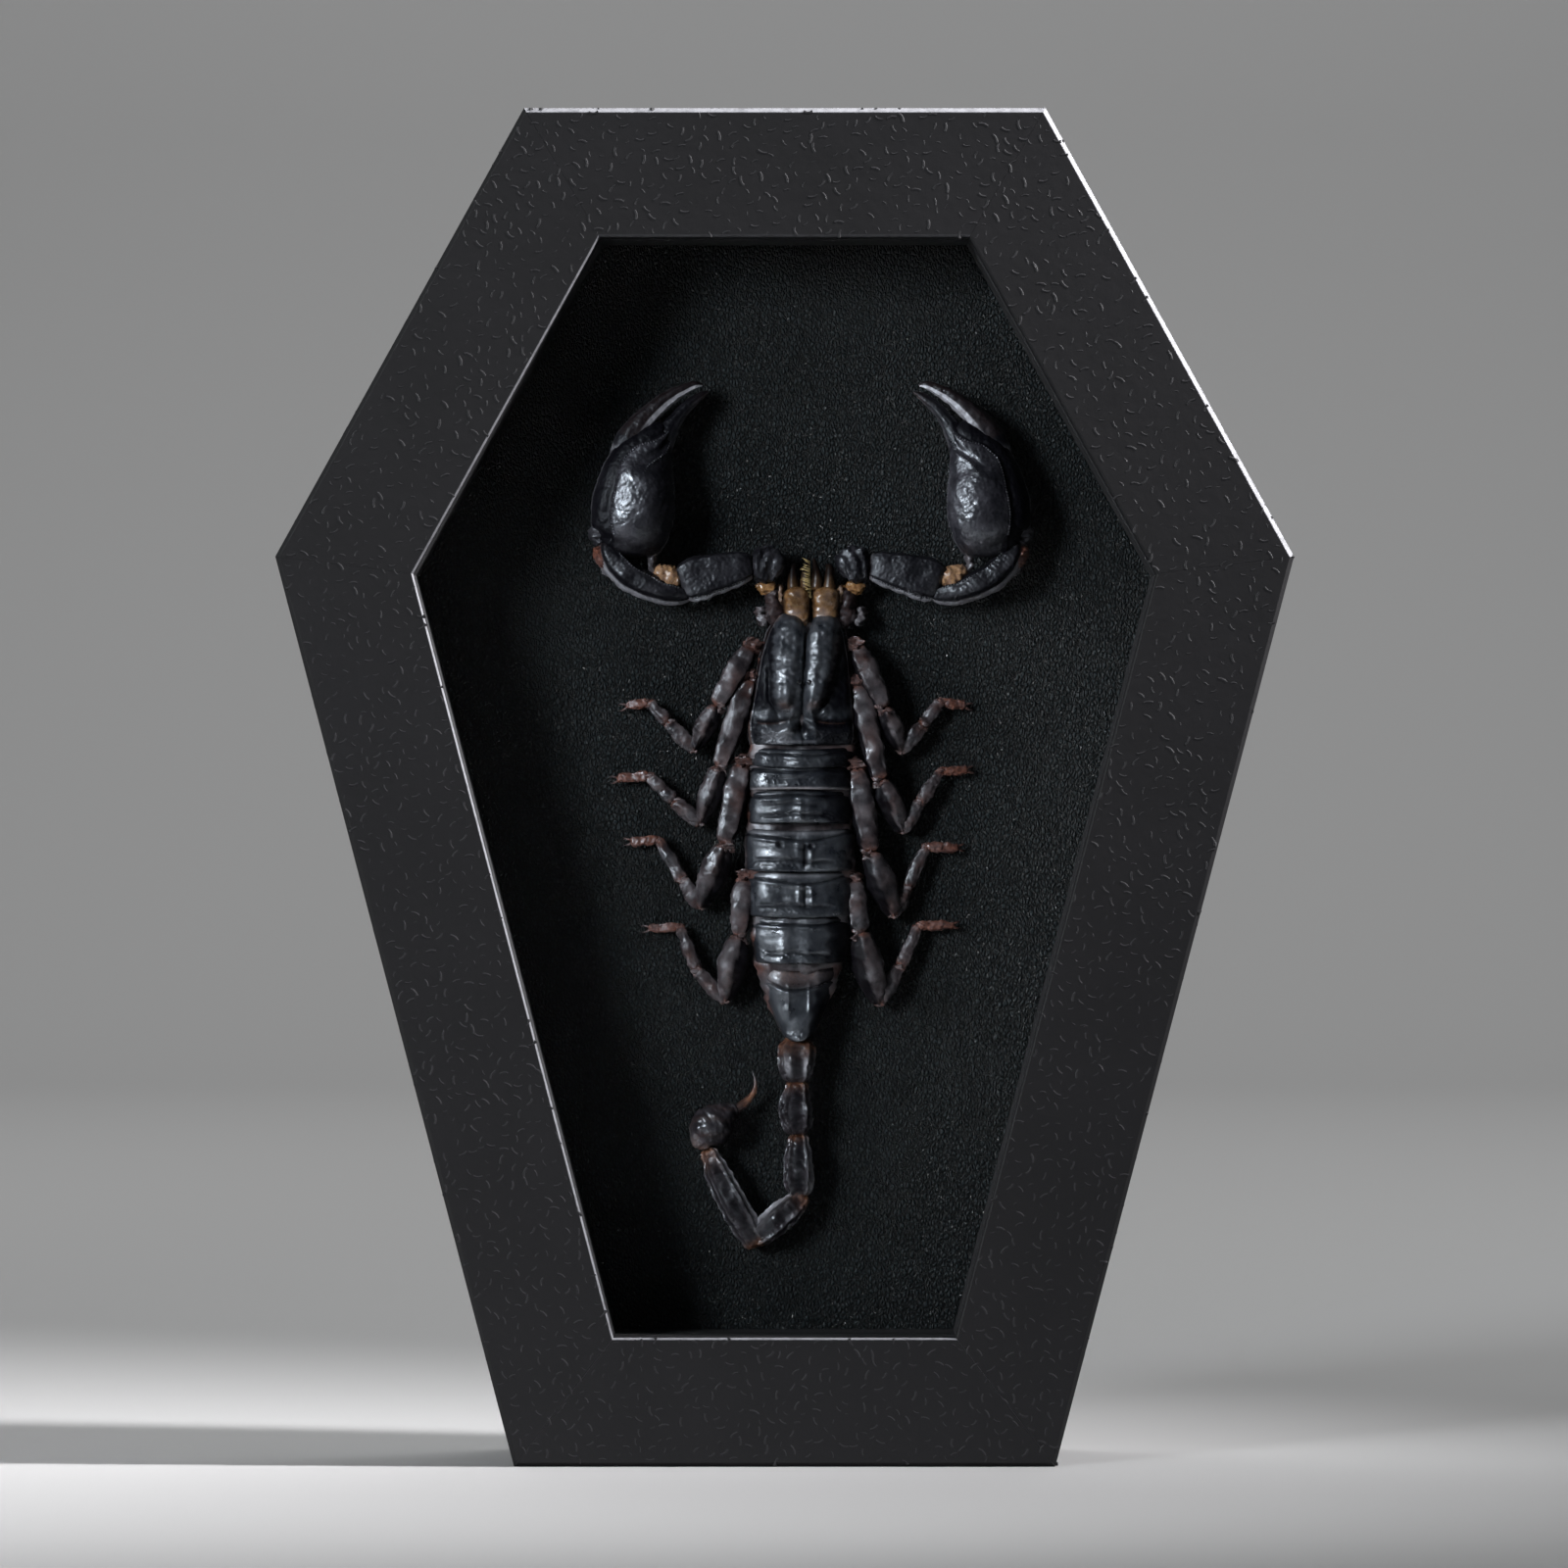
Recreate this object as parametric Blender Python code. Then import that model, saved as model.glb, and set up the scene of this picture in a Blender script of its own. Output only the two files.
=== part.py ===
"""A dried scorpion in a glazed coffin-shaped shadow box.

Six mitred rails carry a glass pane. Behind it six spacer strips line the case, and a leather-covered
board holds the scorpion, whose head points up and whose back faces the glass. The case stands on its
bottom rail, with its front towards -Y. Sizes are in millimetres until a mesh is made.
"""

import math

import bmesh
import bpy
from mathutils import Vector

MM = 0.001

# Outline of the case
CASE_HEIGHT = 200.0
SHOULDER_HEIGHT = 134.0
SHOULDER_WIDTH = 150.0
TOP_WIDTH = 76.8
BOTTOM_WIDTH = 79.7
CASE_DEPTH = 28.0

# Section of a rail
FACE_WIDTH = 19.0
LIP_DEPTH = 4.0
REBATE_WIDTH = 3.5
OUTER_CHAMFER = 1.2
INNER_CHAMFER = 0.5

# What the rebate holds, front to back
FIT_GAP = 0.3
GLASS_THICKNESS = 2.0
LEATHER_FROM_FACE = 18.0
LEATHER_THICKNESS = 1.0
BOARD_THICKNESS = 3.0
PANEL_THICKNESS = 2.5

# Fittings on the back
TAB_LENGTH = 9.0
TAB_REACH = 6.0
TAB_THICKNESS = 0.6
HANGER_WIDTH = 38.0
HANGER_HEIGHT = 8.0
HANGER_THICKNESS = 0.9
HANGER_CENTRE_HEIGHT = 168.0
HANGER_TOOTH_PITCH = 2.4
HANGER_TOOTH_DEPTH = 1.2
HANGER_TOOTH_COUNT = 9
RIVET_RADIUS = 1.5
RIVET_HEIGHT = 0.7
RIVET_FROM_END = 3.6

# The scorpion: heights are above the leather
BODY_SIDES = 24
LIMB_SIDES = 8
CLAW_SIDES = 12
TAIL_SIDES = 10
CLAW_MIRROR_X = 3.9
PLATE_STEP = 0.7
PLATE_SHOULDER = 0.6

# Carapace, front to rear: height up the case, centre, half width, top, furrow depth, notch depth
CARAPACE = (
    (125.4, 3.5, 4.4, 3.8, 0.5, 1.2),
    (124.0, 3.4, 5.6, 5.3, 0.8, 0.9),
    (121.0, 3.1, 6.6, 6.6, 0.9, 0.0),
    (117.0, 2.8, 7.3, 7.5, 0.9, 0.0),
    (113.0, 2.7, 7.8, 7.8, 1.2, 0.0),
    (109.6, 2.5, 8.3, 7.3, 1.4, 0.0),
    (106.5, 2.6, 8.0, 6.6, 0.6, 0.0),
)

# Back plates, front to rear: front edge, rear edge, centre, half width in front and at the rear, top
BACK_PLATES = (
    (106.1, 103.1, 2.6, 7.6, 7.7, 7.0),
    (102.8, 99.5, 2.3, 7.8, 7.9, 7.3),
    (99.2, 94.4, 2.3, 7.8, 7.9, 7.6),
    (93.6, 87.6, 2.2, 8.1, 8.2, 7.8),
    (87.1, 80.8, 2.3, 8.0, 7.9, 7.8),
    (80.4, 73.8, 2.3, 7.4, 6.9, 7.3),
    (73.2, 70.3, 1.9, 6.5, 5.7, 6.6),
)
BODY_END = (62.9, 2.1, 2.6, 4.9)
WAIST = (66.5, 1.9, 4.2, 5.9)

# Legs on the left: (x, z, height, half width) down to the knee, then from the knee to the foot
LEFT_LEGS = {
    "first": (
        ((-2.6, 121.6, 3.0, 1.5), (-6.2, 119.2, 3.9, 1.7), (-8.4, 115.4, 4.3, 1.65), (-10.2, 112.0, 4.2, 1.35),
         (-11.8, 108.9, 3.4, 1.45), (-13.3, 105.9, 2.4, 1.0)),
        ((-13.2, 105.6, 2.2, 0.95), (-15.3, 107.4, 2.1, 1.0), (-17.3, 109.6, 1.9, 0.8), (-20.1, 112.5, 1.6, 0.75),
         (-21.4, 112.5, 1.4, 0.6), (-23.6, 112.1, 1.2, 0.55)),
    ),
    "second": (
        ((-2.6, 118.4, 2.8, 1.5), (-6.0, 114.6, 3.0, 1.5), (-8.0, 108.2, 3.9, 1.75), (-9.6, 102.7, 3.9, 1.35),
         (-11.4, 98.2, 3.3, 1.7), (-12.6, 94.9, 2.4, 1.0)),
        ((-12.4, 94.5, 2.2, 0.95), (-14.4, 96.0, 2.1, 1.05), (-16.4, 97.9, 1.9, 0.8), (-20.1, 101.6, 1.6, 0.75),
         (-21.6, 101.7, 1.4, 0.6), (-24.8, 101.2, 1.2, 0.55)),
    ),
    "third": (
        ((-3.0, 107.0, 2.8, 1.5), (-6.5, 102.8, 3.0, 1.6), (-7.9, 97.2, 3.7, 1.8), (-9.0, 91.1, 3.8, 1.4),
         (-11.0, 86.2, 3.2, 2.0), (-12.4, 82.4, 2.4, 1.05)),
        ((-12.4, 82.0, 2.2, 1.0), (-13.8, 83.9, 2.1, 1.05), (-15.4, 86.4, 1.9, 0.8), (-18.7, 92.0, 1.6, 0.75),
         (-20.1, 92.4, 1.4, 0.6), (-22.9, 91.8, 1.2, 0.55)),
    ),
    "fourth": (
        ((-2.6, 91.6, 2.6, 1.5), (-5.9, 86.2, 2.8, 1.6), (-6.5, 82.0, 3.2, 1.7), (-6.9, 77.6, 3.5, 1.5),
         (-7.8, 72.8, 3.1, 2.1), (-8.7, 68.3, 2.4, 1.05)),
        ((-8.8, 67.9, 2.2, 1.0), (-11.0, 69.8, 2.1, 1.05), (-13.2, 72.5, 1.9, 0.85), (-15.5, 79.0, 1.6, 0.8),
         (-17.0, 79.6, 1.4, 0.6), (-20.3, 78.8, 1.2, 0.55)),
    ),
}

# The right legs lie almost as the left ones do, mirrored about this height-dependent middle
LEG_MIRROR_X = {"first": 1.95, "second": 2.15, "third": 1.75, "fourth": 2.5}

# Mouthparts: jaws and the plates beside them, as (x, z, height, half width)
JAWS = (
    ((1.9, 123.6, 3.0, 1.5), (1.8, 126.0, 3.2, 1.95), (1.8, 129.2, 3.2, 1.95), (1.9, 131.4, 3.0, 1.3),
     (2.1, 133.7, 2.8, 0.7)),
    ((6.1, 123.6, 3.0, 1.5), (6.1, 126.0, 3.2, 1.95), (6.1, 129.2, 3.2, 1.95), (6.0, 131.4, 3.0, 1.3),
     (5.8, 133.7, 2.8, 0.7)),
)
CLAW_COXAE = (
    ((0.4, 122.4, 2.4, 1.5), (-1.6, 126.4, 2.4, 1.6), (-2.5, 129.3, 2.7, 1.6)),
    ((6.7, 122.4, 2.4, 1.5), (8.7, 126.4, 2.4, 1.6), (10.0, 129.3, 2.7, 1.6)),
)

# Left claw arm: (x, z, height, half width, half thickness)
CLAW_ARM = {
    "trochanter": ((-0.6, 132.9, 3.2, 1.7, 1.7), (-2.2, 133.2, 3.5, 2.6, 2.2), (-4.8, 133.0, 3.6, 2.0, 2.0)),
    "femur": ((-4.1, 133.1, 3.6, 1.7, 1.6), (-6.2, 132.7, 3.8, 2.8, 2.5), (-10.0, 131.7, 3.9, 3.1, 2.7),
              (-13.4, 130.8, 3.9, 2.8, 2.6), (-15.2, 130.3, 3.7, 1.7, 1.9)),
    "patella": ((-14.4, 129.2, 3.6, 1.2, 1.8), (-16.4, 128.8, 3.8, 1.7, 2.5), (-19.9, 129.7, 4.0, 1.9, 2.9),
                (-23.4, 131.4, 4.0, 2.0, 3.0), (-26.0, 134.1, 4.0, 1.8, 2.8), (-26.8, 136.5, 4.0, 1.3, 2.2)),
    "hand": ((-24.0, 134.6, 4.0, 2.6, 2.4), (-23.3, 137.0, 4.2, 5.3, 3.6), (-22.9, 141.0, 4.5, 6.2, 4.1),
             (-22.2, 145.6, 4.5, 5.8, 4.1), (-21.3, 149.4, 4.3, 4.8, 3.5), (-19.8, 152.6, 4.0, 2.6, 2.4)),
    "movable_finger": ((-24.2, 148.6, 3.9, 1.4, 1.6), (-23.1, 151.6, 3.9, 2.1, 2.2), (-20.9, 154.8, 3.8, 1.6, 1.9),
                       (-18.1, 157.4, 3.7, 1.15, 1.6), (-15.0, 159.4, 3.5, 0.85, 1.2), (-12.8, 160.2, 3.4, 0.4, 0.6)),
    "fixed_finger": ((-18.4, 149.4, 3.9, 1.7, 2.0), (-17.3, 152.7, 3.8, 1.5, 2.0), (-16.1, 154.9, 3.6, 1.0, 1.6),
                     (-14.3, 156.8, 3.5, 0.8, 1.3), (-12.7, 158.1, 3.4, 0.6, 1.0), (-11.6, 158.9, 3.3, 0.3, 0.5)),
}

# Tail segments: (x, z, height, half width, half thickness)
TAIL = {
    "first": ((2.1, 61.5, 2.9, 2.0, 1.9), (1.7, 60.0, 3.1, 2.9, 2.6), (1.8, 56.8, 3.0, 2.0, 2.1)),
    "second": ((1.9, 57.4, 3.0, 1.6, 1.6), (1.8, 54.6, 3.0, 2.0, 2.2), (1.6, 51.0, 3.0, 2.5, 2.4),
               (2.0, 48.2, 2.9, 1.7, 1.9)),
    "third": ((2.1, 48.8, 2.9, 1.4, 1.5), (2.0, 46.6, 2.9, 1.8, 2.0), (2.1, 42.6, 2.9, 2.2, 2.2),
              (2.2, 39.0, 2.8, 1.8, 1.8)),
    "fourth": ((2.6, 39.6, 2.8, 1.3, 1.4), (0.9, 37.6, 2.8, 1.9, 2.0), (-1.7, 34.9, 2.7, 2.0, 2.1),
               (-4.4, 32.6, 2.6, 1.5, 1.6)),
    "fifth": ((-4.2, 31.6, 2.6, 1.3, 1.4), (-6.0, 35.0, 2.7, 2.0, 2.0), (-8.8, 40.2, 2.7, 2.1, 2.1),
              (-11.4, 45.9, 2.6, 1.3, 1.5)),
    "vesicle": ((-11.9, 45.6, 2.6, 0.9, 1.0), (-11.9, 47.4, 2.8, 2.2, 2.1), (-10.7, 49.4, 3.0, 3.0, 2.6),
                (-8.6, 51.2, 2.9, 1.9, 1.9), (-6.8, 52.2, 2.7, 0.8, 1.0)),
    "sting": ((-7.8, 51.5, 2.7, 0.6, 0.8), (-5.8, 52.9, 2.6, 0.65, 0.7), (-4.6, 54.6, 2.5, 0.5, 0.5),
              (-4.5, 56.4, 2.4, 0.3, 0.3), (-4.9, 57.6, 2.3, 0.15, 0.15)),
}

# Colours, roughness and metallic value of each finish
FINISHES = {
    "charcoal_board": ((0.022, 0.022, 0.025), 0.62, 0.0),
    "clear_glass": ((0.95, 0.97, 0.98), 0.03, 0.0),
    "black_card": ((0.012, 0.012, 0.013), 0.70, 0.0),
    "black_leather": ((0.010, 0.013, 0.015), 0.45, 0.0),
    "grey_board": ((0.20, 0.19, 0.18), 0.85, 0.0),
    "black_fibreboard": ((0.035, 0.034, 0.033), 0.80, 0.0),
    "zinc_steel": ((0.55, 0.55, 0.56), 0.35, 1.0),
    "black_chitin": ((0.016, 0.018, 0.022), 0.28, 0.0),
}

SIDE_NAMES = ("top", "upper_right", "lower_right", "bottom", "lower_left", "upper_left")


def clear_scene():
    """Removes every object that the file holds."""
    for found in list(bpy.data.objects):
        bpy.data.objects.remove(found, do_unlink=True)


def finish(name):
    """The material called name, made once from FINISHES."""
    made = bpy.data.materials.get(name)
    if made is None:
        colour, roughness, metallic = FINISHES[name]
        made = bpy.data.materials.new(name)
        made.use_nodes = True
        shader = made.node_tree.nodes["Principled BSDF"]
        shader.inputs["Base Color"].default_value = (*colour, 1.0)
        shader.inputs["Roughness"].default_value = roughness
        shader.inputs["Metallic"].default_value = metallic
    return made


def add_object(name, points, faces, finish_name, smooth=False):
    """A mesh object from points in millimetres and faces, triangulated with its normals outward."""
    mesh = bpy.data.meshes.new(name)
    mesh.from_pydata([Vector(p) * MM for p in points], [], faces)
    work = bmesh.new()
    work.from_mesh(mesh)
    bmesh.ops.triangulate(work, faces=work.faces[:])
    bmesh.ops.recalc_face_normals(work, faces=work.faces[:])
    work.to_mesh(mesh)
    work.free()
    mesh.materials.append(finish(finish_name))
    if smooth:
        mesh.shade_smooth()
        mesh.set_sharp_from_angle(angle=math.radians(40.0))
    made = bpy.data.objects.new(name, mesh)
    bpy.context.scene.collection.objects.link(made)
    return made


def loft(name, rings, finish_name, caps=None, smooth=True):
    """A closed body through rings of equal length. caps are the two end points of round ends."""
    sides = len(rings[0])
    points = [p for ring in rings for p in ring]
    faces = []
    for row in range(len(rings) - 1):
        for k in range(sides):
            after = (k + 1) % sides
            low, high = row * sides, (row + 1) * sides
            faces.append((low + k, low + after, high + after, high + k))
    last = (len(rings) - 1) * sides
    if caps is None:
        faces.append(tuple(range(sides)))
        faces.append(tuple(last + k for k in range(sides)))
    else:
        first_tip = len(points)
        points.extend(caps)
        for k in range(sides):
            after = (k + 1) % sides
            faces.append((first_tip, after, k))
            faces.append((first_tip + 1, last + k, last + after))
    return add_object(name, points, faces, finish_name, smooth)


def case_outline(inset=0.0):
    """Corners (x, z) of the coffin outline moved inward by inset, clockwise from the top left."""
    half_top, half_bottom, half_shoulder = TOP_WIDTH / 2, BOTTOM_WIDTH / 2, SHOULDER_WIDTH / 2
    corners = [
        Vector((-half_top, CASE_HEIGHT)),
        Vector((half_top, CASE_HEIGHT)),
        Vector((half_shoulder, SHOULDER_HEIGHT)),
        Vector((half_bottom, 0.0)),
        Vector((-half_bottom, 0.0)),
        Vector((-half_shoulder, SHOULDER_HEIGHT)),
    ]
    moved = []
    for k, corner in enumerate(corners):
        before = (corner - corners[k - 1]).normalized()
        after = (corners[(k + 1) % len(corners)] - corner).normalized()
        inward_before = Vector((before.y, -before.x))
        inward_after = Vector((after.y, -after.x))
        bisector = (inward_before + inward_after).normalized()
        moved.append(corner + bisector * (inset / bisector.dot(inward_after)))
    return moved


def mitred_strip(name, side, section, finish_name):
    """A strip along one side of the case. section holds (inset, depth from the front face) points."""
    front = -CASE_DEPTH / 2
    outer, inner = case_outline(0.0), case_outline(FACE_WIDTH)
    ends = []
    for corner, sign in ((side, 1.0), ((side + 1) % 6, -1.0)):
        along = (outer[(side + 1) % 6] - outer[side]).normalized()
        mitre = (inner[corner] - outer[corner]).normalized()
        sine = abs(along.x * mitre.y - along.y * mitre.x)
        pull = along * sign * (FIT_GAP / 2 / sine)
        ring = []
        for inset, depth in section:
            place = case_outline(inset)[corner] + pull
            ring.append((place.x, front + depth, place.y))
        ends.append(ring)
    return loft(name, ends, finish_name, smooth=False)


def rail_section():
    """The L-shaped section of a rail, with a chamfer on its outer and inner front edges."""
    return (
        (OUTER_CHAMFER, 0.0),
        (FACE_WIDTH - INNER_CHAMFER, 0.0),
        (FACE_WIDTH, INNER_CHAMFER),
        (FACE_WIDTH, LIP_DEPTH),
        (FACE_WIDTH - REBATE_WIDTH, LIP_DEPTH),
        (FACE_WIDTH - REBATE_WIDTH, CASE_DEPTH),
        (0.0, CASE_DEPTH),
        (0.0, OUTER_CHAMFER),
    )


def spacer_section():
    """The section of a spacer strip, which stands between the glass and the leather."""
    near = FACE_WIDTH - REBATE_WIDTH + FIT_GAP
    front = LIP_DEPTH + FIT_GAP + GLASS_THICKNESS + FIT_GAP
    back = LEATHER_FROM_FACE - FIT_GAP
    return ((near, front), (FACE_WIDTH, front), (FACE_WIDTH, back), (near, back))


def panel(name, first_depth, thickness, finish_name):
    """A coffin-shaped sheet that fills the rebate, from first_depth behind the front face."""
    outline = case_outline(FACE_WIDTH - REBATE_WIDTH + FIT_GAP)
    front = first_depth - CASE_DEPTH / 2
    rings = [[(p.x, front + step, p.y) for p in outline] for step in (0.0, thickness)]
    return loft(name, rings, finish_name, smooth=False)


def fuse(base, parts):
    """Joins parts to base with Boolean unions and keeps each part as a hidden guide."""
    for part in parts:
        union = base.modifiers.new(part.name, "BOOLEAN")
        union.operation = "UNION"
        union.solver = "EXACT"
        union.object = part
        part.hide_render = True
        part.display_type = "WIRE"
    return base


def back_depth():
    """Depth of the back panel's rear face behind the front face."""
    return LEATHER_FROM_FACE + LEATHER_THICKNESS + BOARD_THICKNESS + PANEL_THICKNESS + 2 * FIT_GAP


def retaining_tab(side):
    """A flat steel tab in the middle of one side, which holds the back panel in."""
    outline = case_outline(FACE_WIDTH - REBATE_WIDTH + FIT_GAP)
    start, end = outline[side], outline[(side + 1) % 6]
    along = (end - start).normalized()
    inward = Vector((along.y, -along.x))
    middle = (start + end) / 2
    near = back_depth() + FIT_GAP - CASE_DEPTH / 2
    corners = [
        middle - along * TAB_LENGTH / 2,
        middle + along * TAB_LENGTH / 2,
        middle + along * TAB_LENGTH / 4 + inward * TAB_REACH,
        middle - along * TAB_LENGTH / 4 + inward * TAB_REACH,
    ]
    rings = [[(p.x, near + step, p.y) for p in corners] for step in (0.0, TAB_THICKNESS)]
    return loft("back_tab_" + SIDE_NAMES[side], rings, "zinc_steel", smooth=False)


def hanger():
    """A toothed steel hanger on the back panel, with a rivet at each end."""
    near = back_depth() + FIT_GAP - CASE_DEPTH / 2
    half, top = HANGER_WIDTH / 2, HANGER_CENTRE_HEIGHT + HANGER_HEIGHT / 2
    low = top - HANGER_HEIGHT
    outline = [(half, top), (half, low)]
    first = HANGER_TOOTH_COUNT * HANGER_TOOTH_PITCH / 2
    for k in range(HANGER_TOOTH_COUNT):
        start = first - k * HANGER_TOOTH_PITCH
        outline.append((start, low))
        outline.append((start - HANGER_TOOTH_PITCH / 2, low + HANGER_TOOTH_DEPTH))
    outline.append((-first, low))
    outline.append((-half, low))
    outline.append((-half, top))
    rings = [[(x, near + step, z) for x, z in outline] for step in (0.0, HANGER_THICKNESS)]
    plate = loft("sawtooth_hanger", rings, "zinc_steel", smooth=False)
    rivets = []
    for sign in (-1.0, 1.0):
        centre = sign * (half - RIVET_FROM_END)
        turns = [2 * math.pi * k / 12 for k in range(12)]
        ends = []
        for depth, scale in ((HANGER_THICKNESS / 2, 1.0), (HANGER_THICKNESS + RIVET_HEIGHT / 2, 1.0),
                             (HANGER_THICKNESS + RIVET_HEIGHT, 0.6)):
            radius = RIVET_RADIUS * scale
            ends.append([(centre + radius * math.cos(a), near + depth, HANGER_CENTRE_HEIGHT + radius * math.sin(a))
                         for a in turns])
        rivets.append(loft(f"rivet_{sign:+.0f}", ends, "zinc_steel"))
    return fuse(plate, rivets)


def leather_y(height):
    """Y of a point that stands height in front of the leather."""
    return LEATHER_FROM_FACE - CASE_DEPTH / 2 - height


def body_ring(z, centre, half_width, top, furrow=0.0, notch=0.0):
    """A cross-section of the scorpion's trunk: an arched back over a flatter belly."""
    middle, base = top * 0.42, FIT_GAP + 0.1
    ring = []
    for k in range(BODY_SIDES):
        turn = 2 * math.pi * k / BODY_SIDES
        side, rise = math.cos(turn), math.sin(turn)
        x = centre + half_width * math.copysign(abs(side) ** 0.85, side)
        if rise >= 0:
            height = middle + (top - middle) * rise ** 0.8
        else:
            height = middle + (middle - base) * rise
        at_ridge = abs(k - BODY_SIDES / 4) < 0.5
        if at_ridge:
            height -= furrow
        ring.append((x, leather_y(height), z - (notch if at_ridge else 0.0)))
    return ring


def limb(name, stations, sides):
    """A round-ended limb through stations of (x, z, height, half width, half thickness)."""
    count = len(stations)
    middles = [Vector((s[0], leather_y(s[2]), s[1])) for s in stations]
    rings, caps = [], []
    out = Vector((0.0, -1.0, 0.0))
    for k, station in enumerate(stations):
        along = (middles[min(k + 1, count - 1)] - middles[max(k - 1, 0)]).normalized()
        across = along.cross(out).normalized()
        up = across.cross(along).normalized()
        wide, thick = station[3], station[4] if len(station) > 4 else station[3] * 0.9
        ring = []
        for j in range(sides):
            turn = 2 * math.pi * (j + 0.5) / sides
            ring.append(middles[k] + across * wide * math.cos(turn) + up * thick * math.sin(turn))
        rings.append(ring)
        if k == 0:
            caps.append(middles[k] - along * wide * 0.45)
        if k == count - 1:
            caps.append(middles[k] + along * wide * 0.45)
    return loft(name, rings, "black_chitin", caps)


def trunk():
    """Carapace and back plates as one body, each plate a step above the next one's front edge."""
    rings = [body_ring(*row) for row in CARAPACE]
    for front, rear, centre, half_front, half_rear, top in BACK_PLATES:
        rings.append(body_ring(front, centre, half_front - PLATE_STEP / 2, top - PLATE_STEP))
        rings.append(body_ring(front - PLATE_SHOULDER, centre, half_front, top - PLATE_STEP / 4))
        rings.append(body_ring(rear, centre, half_rear, top))
    rings.append(body_ring(*WAIST))
    rings.append(body_ring(*BODY_END))
    caps = ((CARAPACE[0][1], leather_y(CARAPACE[0][3] / 2), CARAPACE[0][0] + 0.5),
            (BODY_END[1], leather_y(BODY_END[3] / 2), BODY_END[0] - 0.2))
    return loft("scorpion_body", rings, "black_chitin", caps)


def mirrored(stations, middle):
    """The stations of a limb turned to the other side of the line x = middle."""
    return tuple((2 * middle - s[0], *s[1:]) for s in stations)


def scorpion_body():
    """The trunk with its eight legs and its mouthparts, which grew as one piece."""
    parts = []
    for which, (upper, lower) in LEFT_LEGS.items():
        middle = LEG_MIRROR_X[which]
        for hand, pair in (("left", (upper, lower)), ("right", (mirrored(upper, middle), mirrored(lower, middle)))):
            parts.append(limb(f"{which}_{hand}_thigh", pair[0], LIMB_SIDES))
            parts.append(limb(f"{which}_{hand}_foot", pair[1], LIMB_SIDES))
    for k, stations in enumerate(JAWS):
        parts.append(limb(f"jaw_{k}", stations, LIMB_SIDES))
    for k, stations in enumerate(CLAW_COXAE):
        parts.append(limb(f"claw_coxa_{k}", stations, LIMB_SIDES))
    return fuse(trunk(), parts)


def claw_arm(hand):
    """One claw arm, from the joint beside the jaws to the tips of its two fingers."""
    parts = []
    for piece, stations in CLAW_ARM.items():
        placed = stations if hand == "left" else mirrored(stations, CLAW_MIRROR_X)
        name = f"scorpion_{hand}_claw_arm" if piece == "hand" else f"{hand}_{piece}"
        parts.append(limb(name, placed, CLAW_SIDES))
    palm = next(p for p in parts if p.name.startswith("scorpion"))
    return fuse(palm, [p for p in parts if p is not palm])


def tail():
    """The tail: five segments, the bulb behind the sting and the sting."""
    parts = [limb("scorpion_tail" if piece == "first" else f"tail_{piece}", stations, TAIL_SIDES)
             for piece, stations in TAIL.items()]
    return fuse(parts[0], parts[1:])


def build():
    """Builds each piece of the framed specimen."""
    clear_scene()
    for side, label in enumerate(SIDE_NAMES):
        mitred_strip("rail_" + label, side, rail_section(), "charcoal_board")
        mitred_strip("spacer_" + label, side, spacer_section(), "black_card")
        retaining_tab(side)
    panel("glass_pane", LIP_DEPTH + FIT_GAP, GLASS_THICKNESS, "clear_glass")
    panel("leather_lining", LEATHER_FROM_FACE, LEATHER_THICKNESS, "black_leather")
    panel("backing_board", LEATHER_FROM_FACE + LEATHER_THICKNESS + FIT_GAP, BOARD_THICKNESS, "grey_board")
    panel("back_panel", back_depth() - PANEL_THICKNESS, PANEL_THICKNESS, "black_fibreboard")
    hanger()
    scorpion_body()
    claw_arm("left")
    claw_arm("right")
    tail()


build()
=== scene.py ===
"""Dresses a framed scorpion specimen: a coffin-shaped shadow box around a dried scorpion.

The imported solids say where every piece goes. The classes below build the visible pieces around them:
the covered rails, the glazing, the lining, the leather, the back, and the scorpion plate by plate.
Shapes are worked out in millimetres, with heights measured from the leather towards the glass.
"""

from __future__ import annotations

import logging
import math
from collections.abc import Callable, Sequence
from dataclasses import dataclass, field
from enum import Enum
from functools import partial

import bmesh
import bpy
import numpy as np
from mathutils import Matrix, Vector


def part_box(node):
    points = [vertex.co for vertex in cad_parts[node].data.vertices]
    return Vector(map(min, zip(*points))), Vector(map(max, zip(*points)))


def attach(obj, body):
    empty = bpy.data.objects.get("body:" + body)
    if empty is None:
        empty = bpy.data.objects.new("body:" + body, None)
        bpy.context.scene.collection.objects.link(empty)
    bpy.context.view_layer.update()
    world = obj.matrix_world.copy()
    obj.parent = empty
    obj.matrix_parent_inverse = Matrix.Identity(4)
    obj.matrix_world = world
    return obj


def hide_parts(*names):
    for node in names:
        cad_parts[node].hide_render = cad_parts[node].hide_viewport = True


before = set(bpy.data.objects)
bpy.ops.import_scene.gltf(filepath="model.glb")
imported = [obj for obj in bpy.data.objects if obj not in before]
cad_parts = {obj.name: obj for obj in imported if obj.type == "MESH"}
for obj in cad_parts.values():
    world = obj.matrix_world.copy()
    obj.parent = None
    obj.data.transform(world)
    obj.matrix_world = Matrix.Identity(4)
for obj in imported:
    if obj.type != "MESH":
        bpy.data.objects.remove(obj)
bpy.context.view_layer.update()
MM = 0.001
LEATHER_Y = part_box("leather_lining")[0].y / MM
FRONT_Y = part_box("rail_top")[0].y / MM
BACK_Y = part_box("rail_top")[1].y / MM
OUT = np.array((0.0, -1.0, 0.0))
FULL_TURN = 6.283
CLAW_MIDDLE_X = 3.9
COOL_LIGHT = (0.93, 0.965, 1.0)
log = logging.getLogger("specimen")

Array = np.ndarray
Relief = Callable[[Array, Array, Array], Array]
Tones = dict[str, Array]


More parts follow.
